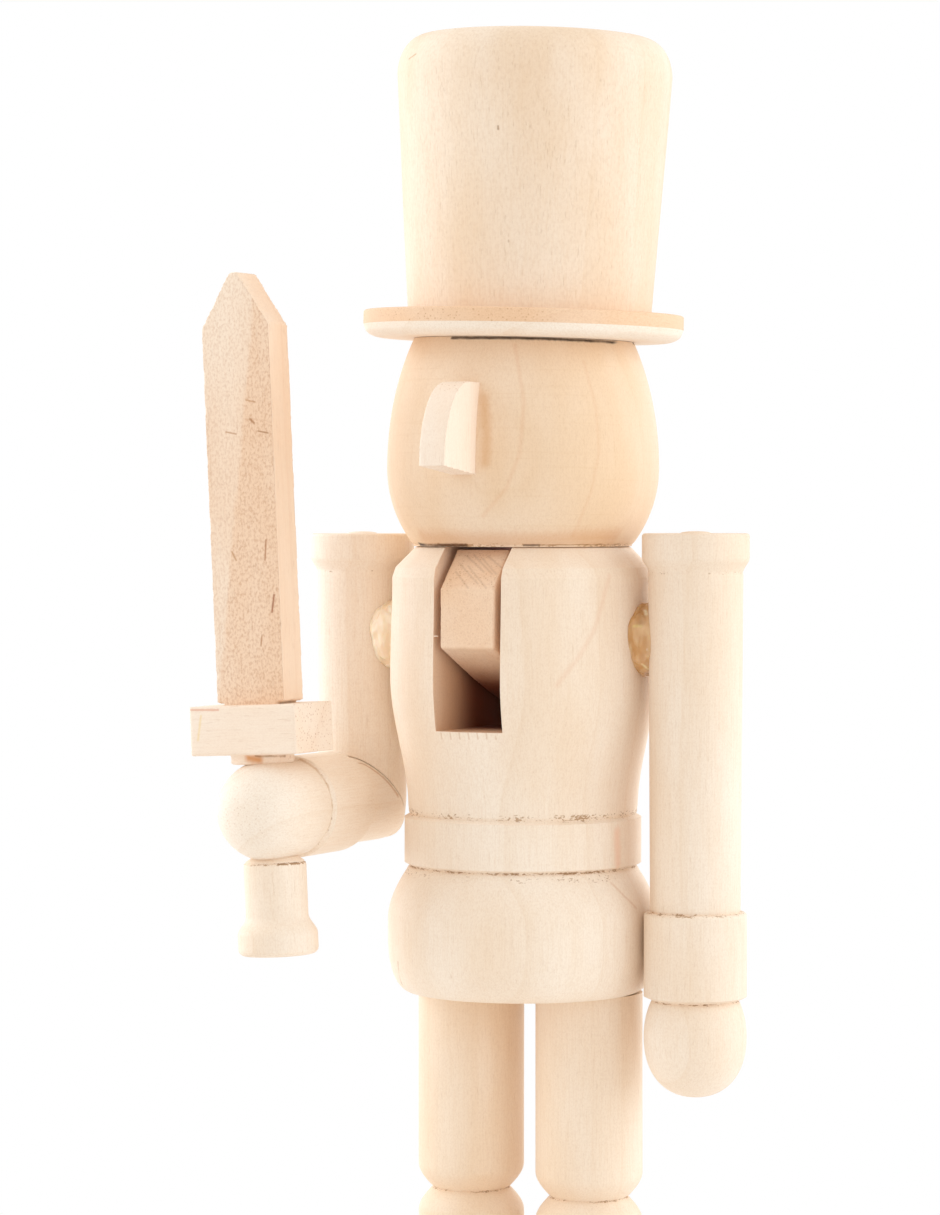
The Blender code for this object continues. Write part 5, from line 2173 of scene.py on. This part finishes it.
@dataclass
class Sword(SubAssembly):
    """Flat blade, cross guard and turned grip, pegged upright through the fist."""

    arm: BentArm
    lean: float = math.radians(2.7)
    blade_width: float = 0.0138
    blade_thickness: float = 0.0072
    blade_length: float = 0.0779
    blade_point: float = 0.0096
    blade_tip_width: float = 0.0016
    heart_slope: float = 0.147
    heart_foot: float = -0.0064
    tang_shoulder: float = 0.0015
    tang_length: float = 0.0035
    guard_length: float = 0.02175
    guard_depth: float = 0.0142
    guard_height: float = 0.009
    guard_shift: float = 0.0016
    neck_radius: float = 0.0058
    neck_height: float = 0.0006
    peg_radius: float = 0.003
    grip_radius: float = 0.0057
    grip_length: float = 0.0094
    pommel_radius: float = 0.0073
    pommel_height: float = 0.0072
    pommel_round: float = 0.0012
    grip_seat_radius: float = 0.0041
    grip_gap: float = 0.0003
    neck_sunk: float = 0.002
    blade_seed: float = 12.8
    guard_seed: float = 13.9
    grip_seed: float = 14.1

    @property
    def seat(self) -> Matrix:
        """Axes of the sword, with the middle of the fist at their origin."""
        return Matrix.Translation(self.arm.fist) @ Matrix.Rotation(-self.lean, 4, "Y")

    @property
    def fist_top(self) -> float:
        """Distance from the middle of the fist to its skin."""
        return self.arm.pattern.hand_radius + FRAME_SEAM

    def build(self) -> None:
        """Saw the blade and the guard, turn the grip, and dress them."""
        guard_foot = self.fist_top + self.neck_height
        guard_top = guard_foot + self.guard_height
        foot = guard_top + FRAME_SEAM
        slope = Vector((1.0, 0.0, -self.heart_slope))
        heart = ((slope.x, slope.y, slope.z), slope.dot(Vector((self.heart_foot, 0.0, foot))))
        blade = SawnWear(rough=0.00007, chip=0.0003).applied(self.blade(guard_top), self.blade_seed)
        blank = Blank(self.blade_seed, tone=0.35, heart_side=heart)
        aside = self.seat @ Matrix.Translation((-self.guard_shift, 0.0, 0.0))
        self.add_wooden("sword_blade", blade, aside, ROUGH_WOOD, blank, marks=BLADE_MARKS)
        guard = SawnWear(rough=0.00004).applied(self.guard(guard_foot, guard_top), self.guard_seed)
        blank = Blank(self.guard_seed, tone=0.15, grain=Grain.SIDEWAYS)
        self.add_wooden("sword_guard", guard, aside, PLANED_WOOD, blank, marks=GUARD_MARKS_AND_SHADOW)
        tear = Tear(-self.fist_top, reach=0.0004, cover=0.5, lean=0.5, facing=math.radians(-20.0))
        grip = turned(self.grip_profile(), LIMB_SIDES, self.grip_seed, [tear])
        self.add_wooden("sword_grip", grip, self.seat, TURNED_WOOD, Blank(self.grip_seed, tone=0.2))

    def blade(self, guard_top: float) -> Mesh:
        """Saw the blade with its tang.

        Args:
            guard_top: Height of the guard's top.

        Returns:
            The blade in the sword's axes.
        """
        foot = guard_top + FRAME_SEAM
        top = foot + self.blade_length
        half_width = self.blade_width / 2
        half_tang = half_width - self.tang_shoulder
        right = [(half_tang, guard_top - self.tang_length), (half_tang, foot), (half_width, foot)]
        right += [(half_width, top - self.blade_point), (self.blade_tip_width / 2, top)]
        outline = right + [(-y, z) for y, z in reversed(right)]
        mesh = prism(outline, self.blade_thickness)
        mesh.transform(Matrix.Rotation(math.pi / 2, 4, "Z"))
        return mesh

    def guard(self, foot: float, top: float) -> Mesh:
        """Saw the guard and join its round neck to it.

        Args:
            foot: Height of the block's underside.
            top: Height of the block's top.

        Returns:
            Both shapes in the sword's axes, for the wear to weld.
        """
        half = self.guard_depth / 2
        block = prism([(-half, foot), (half, foot), (half, top), (-half, top)], self.guard_length)
        sunk = foot - 3 * self.neck_height
        inside = top - self.neck_sunk
        neck_profile = [(0.0, inside), (self.neck_radius, inside), (self.neck_radius, sunk), (0.0, sunk)]
        weld(block, turned(neck_profile, SMALL_SIDES, self.guard_seed))
        return block

    def grip_profile(self) -> Profile:
        """Draw the peg, the grip below the fist and the pommel.

        Returns:
            The profile, with the middle of the fist at height 0.
        """
        peg_top = self.fist_top + self.neck_height + self.tang_length
        grip_top = -self.fist_top
        pommel_top = grip_top - self.grip_length
        foot = pommel_top - self.pommel_height
        hand = self.arm.pattern.hand_radius + GLUE_LINE
        seat = -math.sqrt(hand ** 2 - self.grip_seat_radius ** 2)
        rim = self.grip_radius - self.grip_gap
        profile = [(0.0, peg_top), (self.peg_radius, peg_top), (self.peg_radius, seat)]
        profile += [(self.grip_seat_radius, seat), (rim, grip_top + self.grip_gap), (rim, grip_top)]
        profile += [(self.grip_radius, grip_top)]
        widest = (self.pommel_radius, pommel_top - self.pommel_height / 2)
        profile += ease((self.grip_radius, pommel_top), widest)
        profile += foot_edge(self.pommel_radius, foot, self.pommel_round)
        profile += [(0.0, foot)]
        return profile


# Glue and hidden dowels


GLUE_HIGHLIGHTS_AND_MARKS = {
    Side.LEFT: (
        # Painted highlights: pale spots where the glossy glue catches the light, and a pale streak on a thin
        # strand of glue, with one brown stroke.
        Mark(((645, 611), (646, 614)), width=0.0012, colour="#FFF3D2", share=0.9),
        Mark(((634, 626), (641, 626)), width=0.001, colour="#E8D08C", share=0.7),
        Mark(((642, 664), (648, 669)), width=0.0008, colour="#EFD9A8", share=0.8),
        Mark(((642, 608), (641, 622)), width=0.003, colour="#9A6A36", share=0.5),
    ),
    # Painted highlight on the right bead.
    Side.RIGHT: (Mark(((390, 606), (392, 622)), width=0.0016, colour="#FFF6E4", share=0.8),),
}


@dataclass
class ShoulderGlue(SubAssembly):
    """Hot glue squeezed out between an arm and the chest."""

    side: Side
    finish: HotGlue
    seed: float
    spread: float = 0.0036
    uneven: float = 0.22

    def build(self) -> None:
        """Pour the bead and dress it."""
        node = "shoulder_glue_" + self.side.word
        span = Span.of(node)
        half = (span.size.x / 2 + self.spread, span.size.y / 2, span.size.z / 2)
        name = node + "_bead"
        glue = self.finish.material(name, self.effects)
        place = Matrix.Translation(span.middle)
        bead = lump(half, self.uneven, self.seed)
        self.add(name, node, bead, place, [glue], Slot.HOT_GLUE, marks=GLUE_HIGHLIGHTS_AND_MARKS[self.side])


@dataclass
class HiddenDowels(SubAssembly):
    """Dowels inside the wood, a pair in each joint and one in the hat, which keep the frame's shape."""

    joints: Sequence[str] = ("foot", "hip", "neck")
    first_seed: float = 20.0

    def build(self) -> None:
        """Dress each dowel in rod wood."""
        nodes = [f"{joint}_dowel_{side.word}" for joint in self.joints for side in Side]
        for number, node in enumerate([*nodes, "hat_dowel"]):
            blank = Blank(self.first_seed + number, tone=0.5)
            wood = DOWEL_WOOD.material(node + "_wood", blank, self.effects)
            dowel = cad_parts[node]
            dowel.data.materials.clear()
            dowel.data.materials.append(wood)
            log.info("%s: dressed", node)


# Studio


@dataclass(frozen=True)
class Softbox:
    """Square lamp that faces the figure.

    Attributes:
        azimuth: Direction that it stands in, from the camera's side towards the figure's left.
        colour: Its slightly cool light.
    """

    name: str
    azimuth: float
    elevation: float
    watts: float
    size: float = 1.2
    distance: float = 1.0
    colour: Triple = (0.8, 0.95, 1.08)

    def build(self, aim: Vector) -> None:
        """Hang the lamp so that it faces a place.

        Args:
            aim: The place.
        """
        level = math.cos(self.elevation)
        azimuth = CAMERA.azimuth + self.azimuth
        way = Vector((math.sin(azimuth) * level, -math.cos(azimuth) * level, math.sin(self.elevation)))
        lamp = bpy.data.lights.new(self.name, "AREA")
        lamp.size = self.size
        lamp.energy = self.watts
        lamp.color = self.colour
        holder = in_scene(self.name, lamp)
        holder.location = aim + way * self.distance
        holder.rotation_euler = way.to_track_quat("Z", "Y").to_euler()


SOFTBOXES = tuple(
    Softbox(name, azimuth=math.radians(azimuth), elevation=math.radians(elevation), watts=watts)
    for name, azimuth, elevation, watts in (
        ("left_back_softbox", -110.0, 15.0, 11.0),
        ("right_softbox", 70.0, 12.0, 5.5),
        ("right_back_softbox", 110.0, 15.0, 3.6),
    )
)


@dataclass
class Studio:
    """White floor and surroundings with soft light."""

    sky: float = 0.885
    floor_size: float = 30.0
    floor_glow: float = 0.95
    floor_colour: Colour = (0.94, 0.94, 0.94, 1.0)
    floor_roughness: float = 0.9
    shadow_core: float = 0.2 / 3
    shadow_reach: float = 0.2
    lamp_aim: float = 0.13

    def build(self) -> None:
        """Set up the world, the floor and the lamps, and the camera."""
        self.build_world()
        self.build_floor()
        aim = up(self.lamp_aim)
        for lamp in SOFTBOXES:
            lamp.build(aim)
        CAMERA.build()

    def build_world(self) -> None:
        """Make the surroundings white where they are seen or mirrored, and softer as light."""
        world = bpy.data.worlds.new("white_tent")
        bpy.context.scene.world = world
        world.use_nodes = True
        sheet = Sheet(world.node_tree)
        background = world.node_tree.nodes["Background"]
        background.inputs["Color"].default_value = (1.0, 1.0, 1.0, 1.0)
        sheet.feed(background.inputs["Strength"], self.strength(sheet, self.sky))

    def strength(self, sheet: Sheet, light: float) -> Socket:
        """Work out a strength that is 1 where it is seen or mirrored.

        Args:
            sheet: Sheet of the world or of the floor.
            light: Strength as light.

        Returns:
            The strength.
        """
        rays = sheet.add("ShaderNodeLightPath").outputs
        seen = sheet.maths("MAXIMUM", rays["Is Camera Ray"], rays["Is Glossy Ray"])
        seen = sheet.maths("MAXIMUM", seen, rays["Is Transmission Ray"])
        return sheet.add("ShaderNodeMapRange", {0: seen, 3: light, 4: 1.0}).outputs[0]

    def build_floor(self) -> None:
        """Lay a pale floor that keeps the figure's soft shadow."""
        half = self.floor_size / 2
        corners = np.array([(-half, -half, 0.0), (half, -half, 0.0), (half, half, 0.0), (-half, half, 0.0)])
        mesh = closed_mesh(corners, [(0, 1, 2, 3)])
        material, sheet, shader = new_finish("white_floor")
        shader["Base Color"].default_value = self.floor_colour
        shader["Roughness"].default_value = self.floor_roughness
        shader["Specular IOR Level"].default_value = 0.0
        place = sheet.add("ShaderNodeTexCoord").outputs["Object"]
        away = sheet.smooth(sheet.length(place), self.shadow_core, self.shadow_reach)
        glow = sheet.add("ShaderNodeEmission", {"Strength": self.strength(sheet, self.floor_glow)}).outputs[0]
        nodes = sheet.tree.nodes
        blend = sheet.add("ShaderNodeMixShader", {0: away, 1: nodes["Principled BSDF"].outputs[0], 2: glow})
        sheet.feed(nodes["Material Output"].inputs["Surface"], blend.outputs[0])
        mesh.materials.append(material)
        in_scene("floor", mesh)


def set_picture() -> None:
    """Use plain colours in the picture."""
    bpy.context.scene.view_settings.view_transform = "Standard"


def main() -> None:
    """Build the figure from its base up, then the studio."""
    logging.basicConfig(level=logging.INFO, format="%(name)s: %(message)s")
    effects = Effects()
    torso = Torso(effects)
    head = Head(effects)
    pattern = ArmPattern()
    bent_arm = BentArm(effects, pattern)
    figure = (
        Plinth(effects),
        Leg(effects, Side.LEFT, seed=15.2, tone=0.4),
        Leg(effects, Side.RIGHT, seed=16.3, tone=0.52),
        torso,
        JawLever(effects, torso),
        head,
        Hat(effects, head),
        StraightArm(effects, pattern),
        bent_arm,
        Sword(effects, bent_arm),
        ShoulderGlue(effects, Side.LEFT, AMBER_GLUE, seed=17.4),
        ShoulderGlue(effects, Side.RIGHT, CREAM_GLUE, seed=18.5),
        HiddenDowels(effects),
    )
    for sub_assembly in figure:
        sub_assembly.build()
    Studio().build()
    set_picture()


if __name__ == "__main__":
    main()
